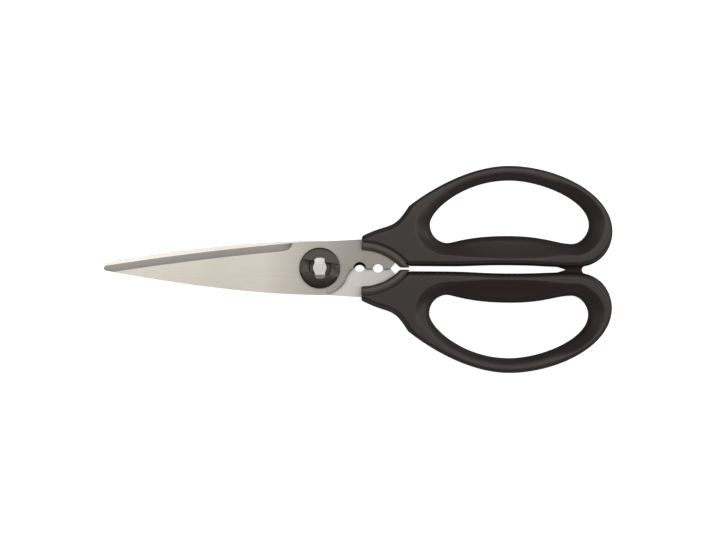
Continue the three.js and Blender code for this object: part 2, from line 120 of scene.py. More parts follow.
class BladeSizes(bpy.types.PropertyGroup):
    """Sizes of the two blades, seen from the outer face with the cutting edge up."""

    spine_run: length("Spine run", "Point that the spine's curve aims at, from the pivot", 36 * MM)
    spine_trim: length("Spine trim", "Finished spine and pivot round, in from the solid", 0.45 * MM)
    tip_radius: length("Tip radius", "Rounding of the nose", 1.1 * MM)
    tip_drop: length("Tip drop", "Nose below the centre line", 0.75 * MM)
    edge_heel: length("Edge heel", "End of the cutting edge, in front of the pivot", 11 * MM)
    edge_heel_height: length("Heel height", "End of the cutting edge, from the centre line", 10.9 * MM)
    edge_bulge: length("Edge swell", "Swell of the cutting edge over a straight line", 0.72 * MM)
    bevel_width: length("Bevel width", "Ground band along the cutting edge", 3.2 * MM)
    bevel_stop: length("Bevel stop", "Where the ground band ends, in front of the heel", 1 * MM)
    bevel_runout: length("Bevel run-out", "Length over which the ground band ends", 4.4 * MM)
    edge_thickness: length("Edge thickness", "Steel left at the cutting edge", 0.3 * MM)
    hone_width: length("Honed edge", "Steeper band at the very edge", 0.4 * MM)
    deburr: length("Deburred edges", "Small chamfer round the outline", 0.12 * MM)
    heel_chamfer: length("Heel chamfer", "Chamfer on the front blade's pivot round", 1.3 * MM)
    heel_chamfer_depth: length("Heel chamfer depth", "Drop of that chamfer", 0.32 * MM)
    heel_step: length("Heel step", "Stripping edge behind the pivot round", 2.65 * MM)
    heel_shift: length("Heel shift", "Centre of the front blade's round, behind the pivot", 0.7 * MM)
    heel_turn: turn("Heel turn", "Where that round starts, below the centre line", 20)
    rim_width: length("Rim", "Broken edge on the front blade's notches and round", 0.2 * MM)
    heel_land: length("Heel land", "Steel between the corner and the big notch", 0.4 * MM)
    tang_lap: length("Tang lap", "Stripping edges past the centre line", 0.3 * MM)
    big_notch: length("Big notch", "Radius of the first stripping notch", 2.6 * MM)
    notch_pitch: length("Notch pitch", "Distance between the notches", 8 * MM)
    small_notch: length("Small notch", "Radius of the second stripping notch", 2.3 * MM)
    small_notch_offset: length("Small notch offset", "Its centre past the centre line", 0.4 * MM)
    stem_land: length("Stem land", "Stripping edge behind the small notch", 5 * MM)
    stem_chamfer: length("Stem chamfer", "Slope that ends the stripping edge", 2.8 * MM)
    lens_radius: length("Lens radius", "Arcs of the rear blade's hole", 2.3 * MM)
    lens_offset: length("Lens offset", "Centres of those arcs, from the centre line", 0.9 * MM)
    lip_bevel: length("Lip bevel", "Radius of the slope that the lip has to its hole", 2.75 * MM)
    lip_slope: FloatProperty(name="Lip slope", description="Steepness of that slope", default=1.2, min=0)
    lip_margin: length("Lip margin", "Steel of the rear blade past the big notch", 0.5 * MM)
    tang_top: length("Tang top", "Upper edge of the tang", 10.4 * MM)
    tang_foot: length("Tang foot", "Lower edge of the tang", 2.8 * MM)
    anchor_radius: length("Anchor hole", "Hole that the core is moulded through", 2 * MM)
    anchor_inset: length("Anchor inset", "Its centre, from the tang's end", 4.6 * MM)
    touch: length("Touch", "Hair gap between the blade's step and the neck", 0.02 * MM)
    bush_hole: length("Bush hole", "Radius of the hole for the bush", 6 * MM)
    bush_recess: length("Bush recess", "Radius of the recess for its flange", 7.3 * MM)
    bush_recess_depth: length("Bush recess depth", "Depth of that recess", 0.65 * MM)
    stud_hole: length("Stud hole", "Radius of the hole for the stud", 3.2 * MM)
    stud_recess: length("Stud recess", "Radius of the recess for its shoulder", 4.5 * MM)
    stud_recess_depth: length("Stud recess depth", "Depth of that recess", 0.85 * MM)


class PivotSizes(bpy.types.PropertyGroup):
    """Sizes of the stud, the cap and the bush."""

    tab_angle: turn("Head angle", "Long axis of the stud's head, from the blade's length", 92)
    release_angle: turn("Release angle", "Opening at which the head passes the key slot", 100)
    tab_reach: length("Head reach", "Half the length of the stud's head", 4.8 * MM)
    tab_width: length("Head width", "Width of the head's two tabs", 4.7 * MM)
    tab_height: length("Head height", "Thickness of the head", 1.2 * MM)
    stud_radius: length("Stud radius", "Radius of the stem", 3.1 * MM)
    back_radius: length("Back radius", "Radius of the flat head behind", 5.4 * MM)
    back_height: length("Back height", "Thickness of the flat head behind", 1 * MM)
    shoulder_radius: length("Shoulder radius", "Riveted shoulder in the rear blade", 4.4 * MM)
    shoulder_height: length("Shoulder height", "Height of that shoulder", 0.8 * MM)
    stud_round: length("Stud rounding", "Rounding of the stud's edges", 0.35 * MM)
    running_gap: length("Running gap", "Room between the turning pieces", 0.1 * MM)
    cap_chamfer: length("Cap chamfer", "Sloped rim of the cap", 1 * MM)
    cap_dome: length("Cap dome", "Fall of the cap's face to its rim", 0.4 * MM)
    channel_width: length("Channel width", "Width of the cap's key channel", 5.6 * MM)
    channel_depth: length("Channel depth", "Depth of the key channel", 0.8 * MM)
    flange_height: length("Flange height", "Thickness of the bush's flange", 0.6 * MM)
    sleeve_radius: length("Sleeve radius", "Radius of the bush's sleeve", 5.9 * MM)
    soft_edge: length("Soft edge", "Rounding of moulded edges", 0.16 * MM)
    sides: IntProperty(name="Sides", description="Facets of a turned piece", default=128, min=24)


class BowSizes(bpy.types.PropertyGroup):
    """Sizes of a finger bow, in the upper bow's place."""

    neck_top: length("Neck top", "Upper corner of the handle's front face", 14.1 * MM)
    shoulder_run: length("Shoulder run", "Neck's shoulder in front of the opening", 9.3 * MM)
    shoulder_drop: length("Shoulder drop", "Shoulder below the top of the arch", 17.9 * MM)
    bow_left: length("Opening start", "Near end of the finger opening", 47.9 * MM)
    bow_length: length("Opening length", "Length of the finger opening", 69.3 * MM)
    bow_floor: length("Opening floor", "Lowest points of the opening", 11.35 * MM)
    bow_height: length("Opening height", "Height of the finger opening", 27.35 * MM)
    palm_bulge: length("Palm bulge", "Rise of the bar into the opening", 3.25 * MM)
    corner_rise: length("Corner rise", "Where the opening is longest, over its floor", 8.2 * MM)
    corner_run: length("Corner run", "Lowest points, in from the opening's ends", 7.35 * MM)
    heel_tip: length("Heel tip", "Height of the rearmost point", 16.5 * MM)
    heel_foot: length("Heel foot", "Where the lower edge turns up", 6.2 * MM)
    bar_clear: length("Bar clearance", "Middle of the bar, from the centre line", 1.75 * MM)
    foot_run: length("Foot run", "Straight lower edge behind the opening's start", 6.1 * MM)
    core_wall: length("Grip wall", "Grip round the core, in plan", 2 * MM)
    core_skin: length("Grip skin", "Grip over the core's face", 1.95 * MM)
    edge_round: length("Edge rounding", "Rounding of the outer edge, in plan", 1.8 * MM)
    edge_depth: length("Edge depth", "The same across the thickness", 3 * MM)
    arch_round: length("Arch rounding", "Rounding of the outer edge on arch and heel", 0.6 * MM)
    wall_crown: length("Wall crown", "Bulge of the outer wall", 0.4 * MM)
    opening_half: length("Opening edge", "Half the thickness at the opening", 4.1 * MM)
    arch_half: length("Arch edge", "The same at the arch", 4.7 * MM)
    heel_half: length("Heel edge", "The same at the heel", 3.1 * MM)
    rim_width: length("Rim width", "Outer part of arch and heel that falls to the rim", 1.9 * MM)
    rim_fall: length("Rim fall", "How far it falls", 0.26 * MM)
    opening_round: length("Opening rounding", "Rounding of the opening's edge", 2 * MM)
    neck_scoop: length("Neck scoop", "Slope round the opening, at the neck", 6.2 * MM)
    arch_scoop: length("Arch scoop", "The same at the arch", 4.9 * MM)
    heel_scoop: length("Heel scoop", "The same at the heel", 7.2 * MM)
    bar_crest: length("Bar crest", "Top of the slope on the bar", 4.6 * MM)
    crest_sag: length("Crest sag", "Fall of that line from its ends to its middle", 1.5 * MM)
    shallow: share("Shallow corner", "Share of the slope's depth missing beside the neck", 0.8)
    collar_drop: length("Collar centre", "Centre of its arcs, below the centre line", 15.2 * MM)
    collar_run: length("Collar run", "Centre of its arcs, in front of the neck", 0.1 * MM)
    collar_radius: length("Collar radius", "Inner arc of the collar", 23 * MM)
    collar_width: length("Collar width", "Width of the collar", 3.4 * MM)
    collar_round: length("Collar rounding", "Rounding of the collar's edges", 1.5 * MM)
    collar_clear: length("Collar clearance", "Its lower end, from the centre line", 0.42 * MM)
    end_round: length("End rounding", "Rounding of the neck's front face", 0.9 * MM)
    groove_round: length("Groove rounding", "Rounding of the grip's lip at the collar", 0.7 * MM)
    pad_corner: length("Pad corner", "Round corners of a stop pad", 1.4 * MM)
    pad_let_in: length("Pad let in", "How deep its foot lies in the grip", 0.08 * MM)
    pad_flange: length("Pad flange", "Thickness of the foot in the grip", 0.3 * MM)
    pad_flare: length("Pad flare", "Hollow foot of a stop pad", 1.3 * MM)
    pad_meet: length("Pad face", "Face of a stop pad, from the centre line", 0.0015 * MM)
    pad_ramp: FloatProperty(name="Pad ramp", description="Run of its front slope to its rise", default=2.6)
    pad_seat: length("Pad seat", "Depth of a pad's pocket", 1 * MM)
    seat_gap: length("Seat gap", "Room round a piece in its seat", 0.3 * MM)
    fineness: length("Fineness", "Mesh size of the moulded bows", 0.45 * MM)
    pad_fineness: length("Pad fineness", "Mesh size of the pads and the stud", 0.12 * MM)


class Finishes(bpy.types.PropertyGroup):
    """Colours and gloss."""

    steel: tone("Blade steel", "Brushed outer faces", (0.63, 0.61, 0.57))
    ground: tone("Ground steel", "Bevel along the cutting edge", (0.71, 0.665, 0.625))
    inner: tone("Inner steel", "Faces that the blades turn on each other", (0.76, 0.745, 0.73))
    bright: tone("Stud steel", "Bright stud", (0.5, 0.485, 0.465))
    # Painted shade: dark steel inside the pivot
    pivot_shade: tone("Oiled steel", "Steel inside the pivot", (0.075, 0.064, 0.057))
    # Painted shade: near-black colour for the notch walls and the lip
    painted_shade: tone("Grime", "Steel walls in the notches", (0.03, 0.025, 0.022))
    gloss: tone("Cap black", "Gloss plastic of the cap", (0.03, 0.02, 0.014))
    satin: tone("Core black", "Satin plastic of the cores", (0.066, 0.054, 0.047))
    bush: tone("Bush black", "Plastic of the bush", (0.1584, 0.1296, 0.1128))
    rubber: tone("Grip black", "Soft grips", (0.024, 0.015, 0.013))
    # Hand polish and painted highlight: lighter grip colour on the crests and the outer edge
    worn_sheen: tone("Grip worn", "Grips where hands polish them", (0.034, 0.025, 0.022))
    # Painted highlight and shade: how much lighter or darker the steel is painted at the tang
    steel_painted_tang_shade: share("Steel fade", "Brightness of the brushed faces at the tang", 0.77)
    inner_painted_tang_tone: share("Inner fade", "Brightness of the inner faces at the tang", 1.05)
    steel_rough: share("Steel roughness", "Gloss of the brushed faces", 0.43)
    grip_rough: share("Grip roughness", "Gloss of the grips", 0.36)


class StageSettings(bpy.types.PropertyGroup):
    """Floor, light and camera."""

    picture_width: length("Picture width", "Width of what the camera sees", 312.4 * MM)
    centre_x: length("Centre along", "Middle of the picture, behind the pivot", 16.65 * MM)
    centre_drop: length("Centre across", "Middle of the picture, below the pivot", 0.75 * MM)
    roll: turn("Roll", "Turn of the camera", 0.42)
    lens: FloatProperty(name="Lens", description="Focal length in millimetres", default=200, min=20)
    sky: share("Sky", "Strength of the soft light all round", 0.08)
    horizon: share("Horizon", "Extra strength of the sky at the horizon", 0.85)
    horizon_shade: share("Horizon shade", "How much of that the upper bow's side lacks", 0.55)
    front_shade: share("Front shade", "How much of that the blades' side lacks", 0.4)
    horizon_reach: share("Horizon reach", "Height at which that has faded", 0.9)
    window: share("Window", "Extra strength of the sky on the window's side", 0.4)
    window_narrow: FloatProperty(name="Window fall", description="How fast it fades", default=3, min=0)
    window_turn: turn("Window turn", "Where the window stands, from the blade's length", 55)
    softbox: FloatProperty(name="Softbox", description="Strength of the overhead light", default=1.98)
    softbox_tone: tone("Softbox colour", "Colour of the overhead light", (1, 0.955, 0.9))
    softbox_height: length("Softbox height", "Height of the overhead light", 450 * MM)
    softbox_along: length("Softbox along", "How far it stands towards the bows", 140 * MM)
    softbox_across: length("Softbox across", "How far it stands towards the upper bow", 75 * MM)
    softbox_length: length("Softbox length", "Its side along the blades", 840 * MM)
    softbox_width: length("Softbox width", "Its other side", 230 * MM)
    floor_glow: share("Floor glow", "Light that the pale floor adds by itself", 0.9)


# Lines in plan, as arrays of points


def cubic(start, lead, tail, end, steps):
    """A curve by its ends and its two handles."""
    t = np.linspace(0, 1, steps + 1)[:, None]
    start, lead, tail, end = (np.array(p, float) for p in (start, lead, tail, end))
    return (1 - t) ** 3 * start + 3 * (1 - t) ** 2 * t * lead + 3 * (1 - t) * t * t * tail + t**3 * end


def quadratic(start, middle, end, steps):
    """A curve by its ends and one handle."""
    t = np.linspace(0, 1, steps + 1)[:, None]
    start, middle, end = (np.array(p, float) for p in (start, middle, end))
    return (1 - t) ** 2 * start + 2 * (1 - t) * t * middle + t * t * end


def arc(centre, radius, start, end, steps):
    """Part of a circle, between two angles."""
    angles = np.linspace(start, end, steps + 1)
    return np.array(centre) + radius * np.stack([np.cos(angles), np.sin(angles)], 1)


def circle(centre, radius, steps=96):
    """A closed circle, counter-clockwise."""
    return arc(centre, radius, 0, math.tau, steps)[:-1]


def joined(*runs):
    """One line from several runs, without the points that repeat."""
    points = np.concatenate([np.atleast_2d(run) for run in runs])
    apart = np.linalg.norm(points - np.roll(points, 1, axis=0), axis=1) > 1e-3 * MM
    return points[apart]


def level_to_level(start, end, lead, tail, steps=24):
    """A curve that is level at both ends."""
    run = end[0] - start[0]
    return cubic(start, (start[0] + run * lead, start[1]), (end[0] - run * tail, end[1]), end, steps)


def level_to_upright(start, end, lead, tail, steps=24):
    """A curve that starts level and ends upright."""
    run = (end[0] - start[0]) * lead
    rise = (end[1] - start[1]) * tail
    return cubic(start, (start[0] + run, start[1]), (end[0], end[1] - rise), end, steps)


def upright_to_level(start, end, lead, tail, steps=24):
    """A curve that starts upright and ends level."""
    rise = (end[1] - start[1]) * lead
    run = (end[0] - start[0]) * tail
    return cubic(start, (start[0], start[1] + rise), (end[0] - run, end[1]), end, steps)


def nearest(points, run, closed=False):
    """Distance of each point to a line, and how far along the line that is."""
    ends = np.roll(run, -1, axis=0) if closed else run[1:]
    starts = run if closed else run[:-1]
    best = np.full(len(points), np.inf)
    along = np.zeros(len(points))
    passed = 0.0
    for a, b in zip(starts, ends):
        step = b - a
        size = np.linalg.norm(step)
        at = np.clip((points - a) @ step / size**2, 0, 1)
        away = np.linalg.norm(points - a - at[:, None] * step, axis=1)
        closer = away < best
        best[closer] = away[closer]
        along[closer] = passed + at[closer] * size
        passed += size
    return best, along


def within(points, loop):
    """True for each point inside a closed line."""
    inside = np.zeros(len(points), bool)
    for a, b in zip(loop, np.roll(loop, -1, axis=0)):
        if a[1] == b[1]:
            continue
        spans = (points[:, 1] >= min(a[1], b[1])) & (points[:, 1] < max(a[1], b[1]))
        crossing = a[0] + (points[:, 1] - a[1]) * (b[0] - a[0]) / (b[1] - a[1])
        inside ^= spans & (points[:, 0] < crossing)
    return inside


def inset(loop, width):
    """A closed line moved to its left."""

    def left(steps):
        return np.stack([-steps[:, 1], steps[:, 0]], 1) / np.linalg.norm(steps, axis=1)[:, None]

    before = left(loop - np.roll(loop, 1, axis=0))
    middle = before + left(np.roll(loop, -1, axis=0) - loop)
    least_reach = 0.5
    reach = np.maximum((middle * before).sum(1), least_reach)
    return loop + middle * (width / reach)[:, None]


# Meshes


def mesh_object(name, points, faces):
    """A new object from points in metres and lists of faces."""
    mesh = bpy.data.meshes.new(name)
    mesh.from_pydata([tuple(p) for p in points], [], [tuple(int(i) for i in f) for f in faces])
    mesh.validate()
    obj = bpy.data.objects.new(name, mesh)
    bpy.context.scene.collection.objects.link(obj)
    return obj


def shade(obj, degrees):
    """Smooth shading with sharp edges past an angle."""
    obj.data.shade_smooth()
    obj.data.set_sharp_from_angle(angle=math.radians(degrees))


def settled(obj):
    """Turns what an object's modifiers make into its plain mesh."""
    depsgraph = bpy.context.evaluated_depsgraph_get()
    mesh = bpy.data.meshes.new_from_object(obj.evaluated_get(depsgraph))
    obj.modifiers.clear()
    obj.data = mesh
    mesh.name = obj.name


def finished(obj, body, node, slot, *materials):
    """Gives a piece its finishes and ties it to the frame."""
    obj.data.materials.clear()
    for material in materials:
        obj.data.materials.append(material)
    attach(obj, body)
    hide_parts(node)


def turned_over(points):
    """Points of the front half, in the rear half's place."""
    x, y, z = np.asarray(points).T
    return np.stack([x, -y, 2 * MID_PLANE - z], 1)


def plate(loops, lines, top, bottom):
    """A flat piece with holes. The first loop is its outline, the lines are its creases, and top and
    bottom give the heights of its faces. Returns points, faces, and the middles of the top faces."""
    plan, edges = [], []
    for run, closed in [(loop, True) for loop in loops] + [(run, False) for run in lines]:
        first = len(plan)
        plan.extend(run)
        last = len(plan)
        edges.extend((i, i + 1) for i in range(first, last - 1))
        if closed:
            edges.append((last - 1, first))
    made = delaunay_2d_cdt([Vector(p) / MM for p in plan], edges, [], 0, 1e-4)
    plan = np.array([tuple(p) for p in made[0]]) * MM
    triangles = np.array([tuple(f) for f in made[2]])
    middles = plan[triangles].mean(1)
    kept = within(middles, loops[0])
    for hole in loops[1:]:
        kept &= ~within(middles, hole)
    used, triangles = np.unique(triangles[kept], return_inverse=True)
    triangles = triangles.reshape(-1, 3)
    plan = plan[used]
    count = len(plan)
    points = np.concatenate([np.c_[plan, top(plan)], np.c_[plan, bottom(plan)]])
    sides = np.concatenate([triangles[:, [0, 1]], triangles[:, [1, 2]], triangles[:, [2, 0]]])
    known = {tuple(side) for side in sides.tolist()}
    rim = [side for side in sides.tolist() if (side[1], side[0]) not in known]
    walls = [(b, a, a + count, b + count) for a, b in rim]
    faces = triangles.tolist() + (triangles[:, ::-1] + count).tolist() + walls
    return points, faces, middles[kept]


# Solids from smooth fields, which are negative inside


def round_max(a, b, radius):
    """Where both fields are negative, with the edge between them rounded."""
    outside = np.hypot(np.maximum(a + radius, 0), np.maximum(b + radius, 0))
    return np.minimum(-radius, np.maximum(a, b)) + outside


def round_min(a, b, radius):
    """Where either field is negative, with a hollow fillet between them."""
    return -round_max(-a, -b, radius)


def rounded_box(x, y, half_x, half_y, corner):
    """Signed distance to a rectangle with round corners, in plan."""
    across = np.abs(x) - (half_x - corner)
    along = np.abs(y) - (half_y - corner)
    outside = np.hypot(np.maximum(across, 0), np.maximum(along, 0))
    return outside + np.minimum(np.maximum(across, along), 0) - corner


class PlanDistance:
    """Signed distance to a closed line in plan, negative inside it, read off a fine grid."""

    def __init__(self, loop, low, high, step):
        self.low = np.array(low)
        self.step = step
        self.shape = tuple(int(math.ceil((h - l) / step)) + 2 for l, h in zip(low, high))
        grid = np.stack(np.meshgrid(*(np.arange(n) for n in self.shape), indexing="ij"), -1)
        points = self.low + grid.reshape(-1, 2) * step
        distance, _ = nearest(points, loop, closed=True)
        self.values = np.where(within(points, loop), -distance, distance).reshape(self.shape)

    def __call__(self, x, y):
        at_x = np.clip((x - self.low[0]) / self.step, 0, self.shape[0] - 1.001)
        at_y = np.clip((y - self.low[1]) / self.step, 0, self.shape[1] - 1.001)
        i, j = at_x.astype(int), at_y.astype(int)
        u, v = at_x - i, at_y - j
        near = self.values[i, j] * (1 - v) + self.values[i, j + 1] * v
        far = self.values[i + 1, j] * (1 - v) + self.values[i + 1, j + 1] * v
        return near * (1 - u) + far * u


def net(field, low, high, step):
    """Points and quads of the surface where a field is zero, one point to a cell."""
    axes = [np.arange(l - 1.5 * step, h + 2.5 * step, step) for l, h in zip(low, high)]
    grid = np.stack(np.meshgrid(*axes, indexing="ij"), -1)
    values = field(grid[..., 0], grid[..., 1], grid[..., 2])
    cells = tuple(n - 1 for n in values.shape)
    total = np.zeros(cells + (3,))
    count = np.zeros(cells)
    for axis in range(3):
        across = [k for k in range(3) if k != axis]
        ahead = [slice(None)] * 3
        behind = [slice(None)] * 3
        ahead[axis], behind[axis] = slice(1, None), slice(None, -1)
        a, b = values[tuple(behind)], values[tuple(ahead)]
        crossed = (a < 0) != (b < 0)
        at = np.where(crossed, a / np.where(crossed, a - b, 1), 0)
        place = grid[tuple(behind)].copy()
        place[..., axis] += at * step
        for corner in ((0, 0), (0, 1), (1, 0), (1, 1)):
            part = [slice(None)] * 3
            for k, offset in zip(across, corner):
                part[k] = slice(offset, values.shape[k] - 1 + offset)
            hit = crossed[tuple(part)]
            total += np.where(hit[..., None], place[tuple(part)], 0)
            count += hit
    used = count > 0
    number = np.full(cells, -1)
    number[used] = np.arange(used.sum())
    points = total[used] / count[used][:, None]
    quads = []
    for axis in range(3):
        u, v = (axis + 1) % 3, (axis + 2) % 3
        behind, ahead = [slice(1, -1)] * 3, [slice(1, -1)] * 3
        behind[axis], ahead[axis] = slice(None, -1), slice(1, None)
        a, b = values[tuple(behind)] < 0, values[tuple(ahead)] < 0
        found = np.argwhere(a != b)
        leaves = a[tuple(found.T)]
        base = found.copy()
        base[:, [u, v]] += 1
        corners = []
        for du, dv in ((1, 1), (0, 1), (0, 0), (1, 0)):
            cell = base.copy()
            cell[:, u] -= du
            cell[:, v] -= dv
            corners.append(number[tuple(cell.T)])
        ring = np.stack(corners, 1)
        quads.append(np.where(leaves[:, None], ring, ring[:, ::-1]))
    return points, np.concatenate(quads)


def drawn_to(points, field, step, rounds=4):
    """Points moved onto the surface where a field is zero."""
    tiny = 0.02 * step
    longest = 0.5 * step
    least_slope = 0.05
    for _ in range(rounds):
        value = field(*points.T)
        slope = np.zeros_like(points)
        for axis in range(3):
            shift = np.zeros(3)
            shift[axis] = tiny
            slope[:, axis] = (field(*(points + shift).T) - field(*(points - shift).T)) / (2 * tiny)
        size = np.maximum((slope**2).sum(1), least_slope)
        move = -(value / size)[:, None] * slope
        far = np.linalg.norm(move, axis=1)
        points = points + move * np.minimum(1, longest / np.maximum(far, 1e-12))[:, None]
    return points


def moulded(field, low, high, step):
    """Points and quads of a solid given by a field."""
    points, quads = net(field, low, high, step)
    return drawn_to(points, field, step), quads


# Finishes, with the bands over which a blade's colour changes: along it, aside of it or from the pivot


# Painted highlight towards the tip and painted shade towards the tang change over these bands along the
# blade
TIP_PAINTED_HIGHLIGHT = (-80 * MM, -42 * MM)
TANG_PAINTED_SHADE = (-24 * MM, 20 * MM)
NOTCH_FADE = (4 * MM, 8 * MM)
SIDE_FADE = (8.5 * MM, 10.5 * MM)
# Painted shade round the pivot fades out over this band
PIVOT_SHADE_FADE = (5.5 * MM, 7 * MM)
# Painted shade on the upper half of the rear blade's lip fades in over this band across the blade
LIP_PAINTED_SHADE_FADE = (-0.1 * MM, 0.4 * MM)
FLAT_FADE = (0.6, 0.9)


class Value:
    """A socket that can be reckoned with."""

    def __init__(self, tree, socket):
        self.tree = tree
        self.socket = socket

    def __add__(self, other):
        return self.tree.math("ADD", self, other)

    def __sub__(self, other):
        return self.tree.math("SUBTRACT", self, other)

    def __rsub__(self, other):
        return self.tree.math("SUBTRACT", other, self)

    def __mul__(self, other):
        return self.tree.math("MULTIPLY", self, other)

    __radd__ = __add__
    __rmul__ = __mul__


class Tree:
    """A node tree that is being built."""

    def __init__(self, tree):
        self.tree = tree
        self.tree.nodes.clear()

    def node(self, kind, settings=None, **sockets):
        """A node with its settings and its sockets. A name's underscores stand for spaces."""
        made = self.tree.nodes.new(kind)
        for key, value in (settings or {}).items():
            setattr(made, key, value)
        for key, value in sockets.items():
            self.link(value, self.socket(made.inputs, key))
        return made

    def socket(self, sockets, key):
        """The socket with that identifier or name."""
        for socket in sockets:
            if key in (socket.identifier, socket.name.replace(" ", "_")) and socket.enabled:
                return socket
        raise KeyError(f"{key} isn't one of {[s.name for s in sockets]}")

    def link(self, value, socket):
        """Links a value to a socket, or sets the socket."""
        if isinstance(value, Value):
            self.tree.links.new(value.socket, socket)
        else:
            socket.default_value = value

    def out(self, node, key):
        """An output of a node, as a value."""
        return Value(self, self.socket(node.outputs, key))

    def math(self, operation, a, b=0.0):
        """One Math node."""
        made = self.node("ShaderNodeMath", {"operation": operation})
        for value, socket in zip((a, b), made.inputs):
            self.link(value, socket)
        return Value(self, made.outputs[0])

    def mix(self, factor, a, b):
        """A blend of two colours."""
        settings = {"data_type": "RGBA"}
        made = self.node("ShaderNodeMix", settings, Factor_Float=factor, A_Color=a, B_Color=b)
        return self.out(made, "Result_Color")


class Finish(Tree):
    """A material that is being built. Its patterns lie on Object coordinates."""

    def __init__(self, name):
        self.material = bpy.data.materials.new(name)
        self.material.use_nodes = True
        super().__init__(self.material.node_tree)
        self.place = self.out(self.node("ShaderNodeTexCoord"), "Object")

    def noise(self, scale, detail=2.0, rough=0.5):
        """Cloudy grey from nought to one, with its grain given along each axis, per metre."""
        mapping = self.node("ShaderNodeMapping", None, Vector=self.place, Scale=scale)
        made = self.node(
            "ShaderNodeTexNoise",
            None,
            Vector=self.out(mapping, "Vector"),
            Scale=1.0,
            Detail=detail,
            Roughness=rough,
        )
        return self.out(made, "Fac")

    def split(self):
        """The three coordinates."""
        made = self.node("ShaderNodeSeparateXYZ", None, Vector=self.place)
        return [self.out(made, key) for key in "XYZ"]

    def attribute(self, name):
        """A value that the mesh carries at its points."""
        return self.out(self.node("ShaderNodeAttribute", {"attribute_name": name}), "Fac")

    def ramp(self, value, low, high):
        """Nought below low, one above high."""
        made = self.node("ShaderNodeMapRange", {"clamp": True}, Value=value, From_Min=low, From_Max=high)
        return self.out(made, "Result")

    def steep(self):
        """One on upright walls, nought on flat faces."""
        normal = self.out(self.node("ShaderNodeNewGeometry"), "True_Normal")
        upward = self.out(self.node("ShaderNodeSeparateXYZ", None, Vector=normal), "Z")
        return 1 - self.ramp(self.math("ABSOLUTE", upward), *FLAT_FADE)

    def bump(self, height, strength, depth):
        """A surface that rises with a value."""
        made = self.node("ShaderNodeBump", None, Height=height, Strength=strength, Distance=depth)
        return self.out(made, "Normal")

    def done(self, **sockets):
        """Ends the material in its shader."""
        shader = self.node("ShaderNodeBsdfPrincipled", None, **sockets)
        self.node("ShaderNodeOutputMaterial", None, Surface=self.out(shader, "BSDF"))
        return self.material


def opaque(colour):
    """A colour with its fourth value."""
    return (*colour, 1.0)


def shaded(colour, factor):
    """A colour made lighter or darker."""
    return tuple(min(1.0, c * factor) for c in colour)


def steel(name, colour, rough, across, fade, painted_shade, pivot_shade=None, lip=None):
    """Brushed steel. The strokes run along the blade, or across it. Its colour has a painted highlight
    towards the tip, painted shade towards the tang, and painted shade on the walls of the notches. A face
    with a lip also has painted shade round the pivot and on the upper half of the lip, whose place along
    the blade and reach are given."""
    finish = Finish(name)
    long_grain, short_grain = 45, 3600
    fine = (short_grain, long_grain, long_grain) if across else (long_grain, short_grain, short_grain)
    broad = tuple(grain * 0.32 for grain in fine)
    strokes = finish.noise(fine, 3.0, 0.6) * 0.6 + finish.noise(broad, 2.0, 0.5) * 0.4
    cloud = finish.noise((70, 70, 70), 2.0)
    light = finish.ramp(strokes * 0.8 + cloud * 0.2, 0.36, 0.64)
    along, aside, _ = finish.split()

    def brushed(low, high):
        return finish.mix(light, opaque(shaded(colour, low)), opaque(shaded(colour, high)))

    dark_stroke, light_stroke = 0.93, 1.05
    # Painted highlight: the brushed faces are lighter towards the tip
    tip, base = brushed(1.09, 1.19), brushed(dark_stroke, light_stroke)
    base = finish.mix(finish.ramp(along, *TIP_PAINTED_HIGHLIGHT), tip, base)
    # Painted shade: the faces are darker towards the tang
    at_tang = finish.ramp(along, *TANG_PAINTED_SHADE)
    base = finish.mix(at_tang, base, brushed(dark_stroke * fade, light_stroke * fade))
    beside = finish.ramp(finish.math("ABSOLUTE", aside), *SIDE_FADE)
    notched = finish.ramp(along, *NOTCH_FADE) * (1 - beside)
    # Painted shade: near-black colour on the steep walls of the notches
    base = finish.mix(finish.steep() * notched, base, opaque(painted_shade))
    if lip:
        place, reach = lip
        from_pivot = finish.math("SQRT", along * along + aside * aside)
        # Painted shade: dark steel round the pivot on the inner face
        base = finish.mix(finish.ramp(from_pivot, *PIVOT_SHADE_FADE), opaque(pivot_shade), base)
        # Painted shade on the upper half of the lip, round the rear blade's hole
        past = along - place
        from_lip = finish.math("SQRT", past * past + aside * aside)
        above = finish.ramp(aside, *LIP_PAINTED_SHADE_FADE)
        sunk = above * (1 - finish.ramp(from_lip, reach - 0.2 * MM, reach))
        base = finish.mix(sunk, base, opaque(painted_shade))
    stroke_rough, tang_rough = 0.12, 0.2
    return finish.done(
        Base_Color=base,
        Metallic=1.0,
        Roughness=rough - stroke_rough / 2 + strokes * stroke_rough + at_tang * tang_rough,
        Normal=finish.bump(strokes, 0.4, 0.03 * MM),
    )


def bright_steel(colour, pivot_shade, back, head):
    """Tumbled bright steel of the stud, with painted shade, dark, between its flat back and its head."""
    finish = Finish("stud_steel")
    speckle = finish.noise((1500, 1500, 1500), 3.0, 0.7)
    cloud = finish.noise((420, 420, 420), 2.0)
    mark = finish.ramp(speckle * 0.6 + cloud * 0.4, 0.35, 0.62)
    base = finish.mix(mark, opaque(shaded(colour, 0.78)), opaque(shaded(colour, 1.14)))
    height = finish.split()[2]
    # Painted shade on the stud between its back and its head
    fade = 0.2 * MM
    above = finish.ramp(height, head - fade, head)
    behind = 1 - finish.ramp(height, back - fade, back)
    unshaded = finish.math("MAXIMUM", above, behind)
    return finish.done(
        Base_Color=finish.mix(unshaded, opaque(pivot_shade), base),
        Metallic=1.0,
        Roughness=0.24 + speckle * 0.18,
        Normal=finish.bump(speckle * 0.5 + cloud * 0.5, 0.25, 0.08 * MM),
    )


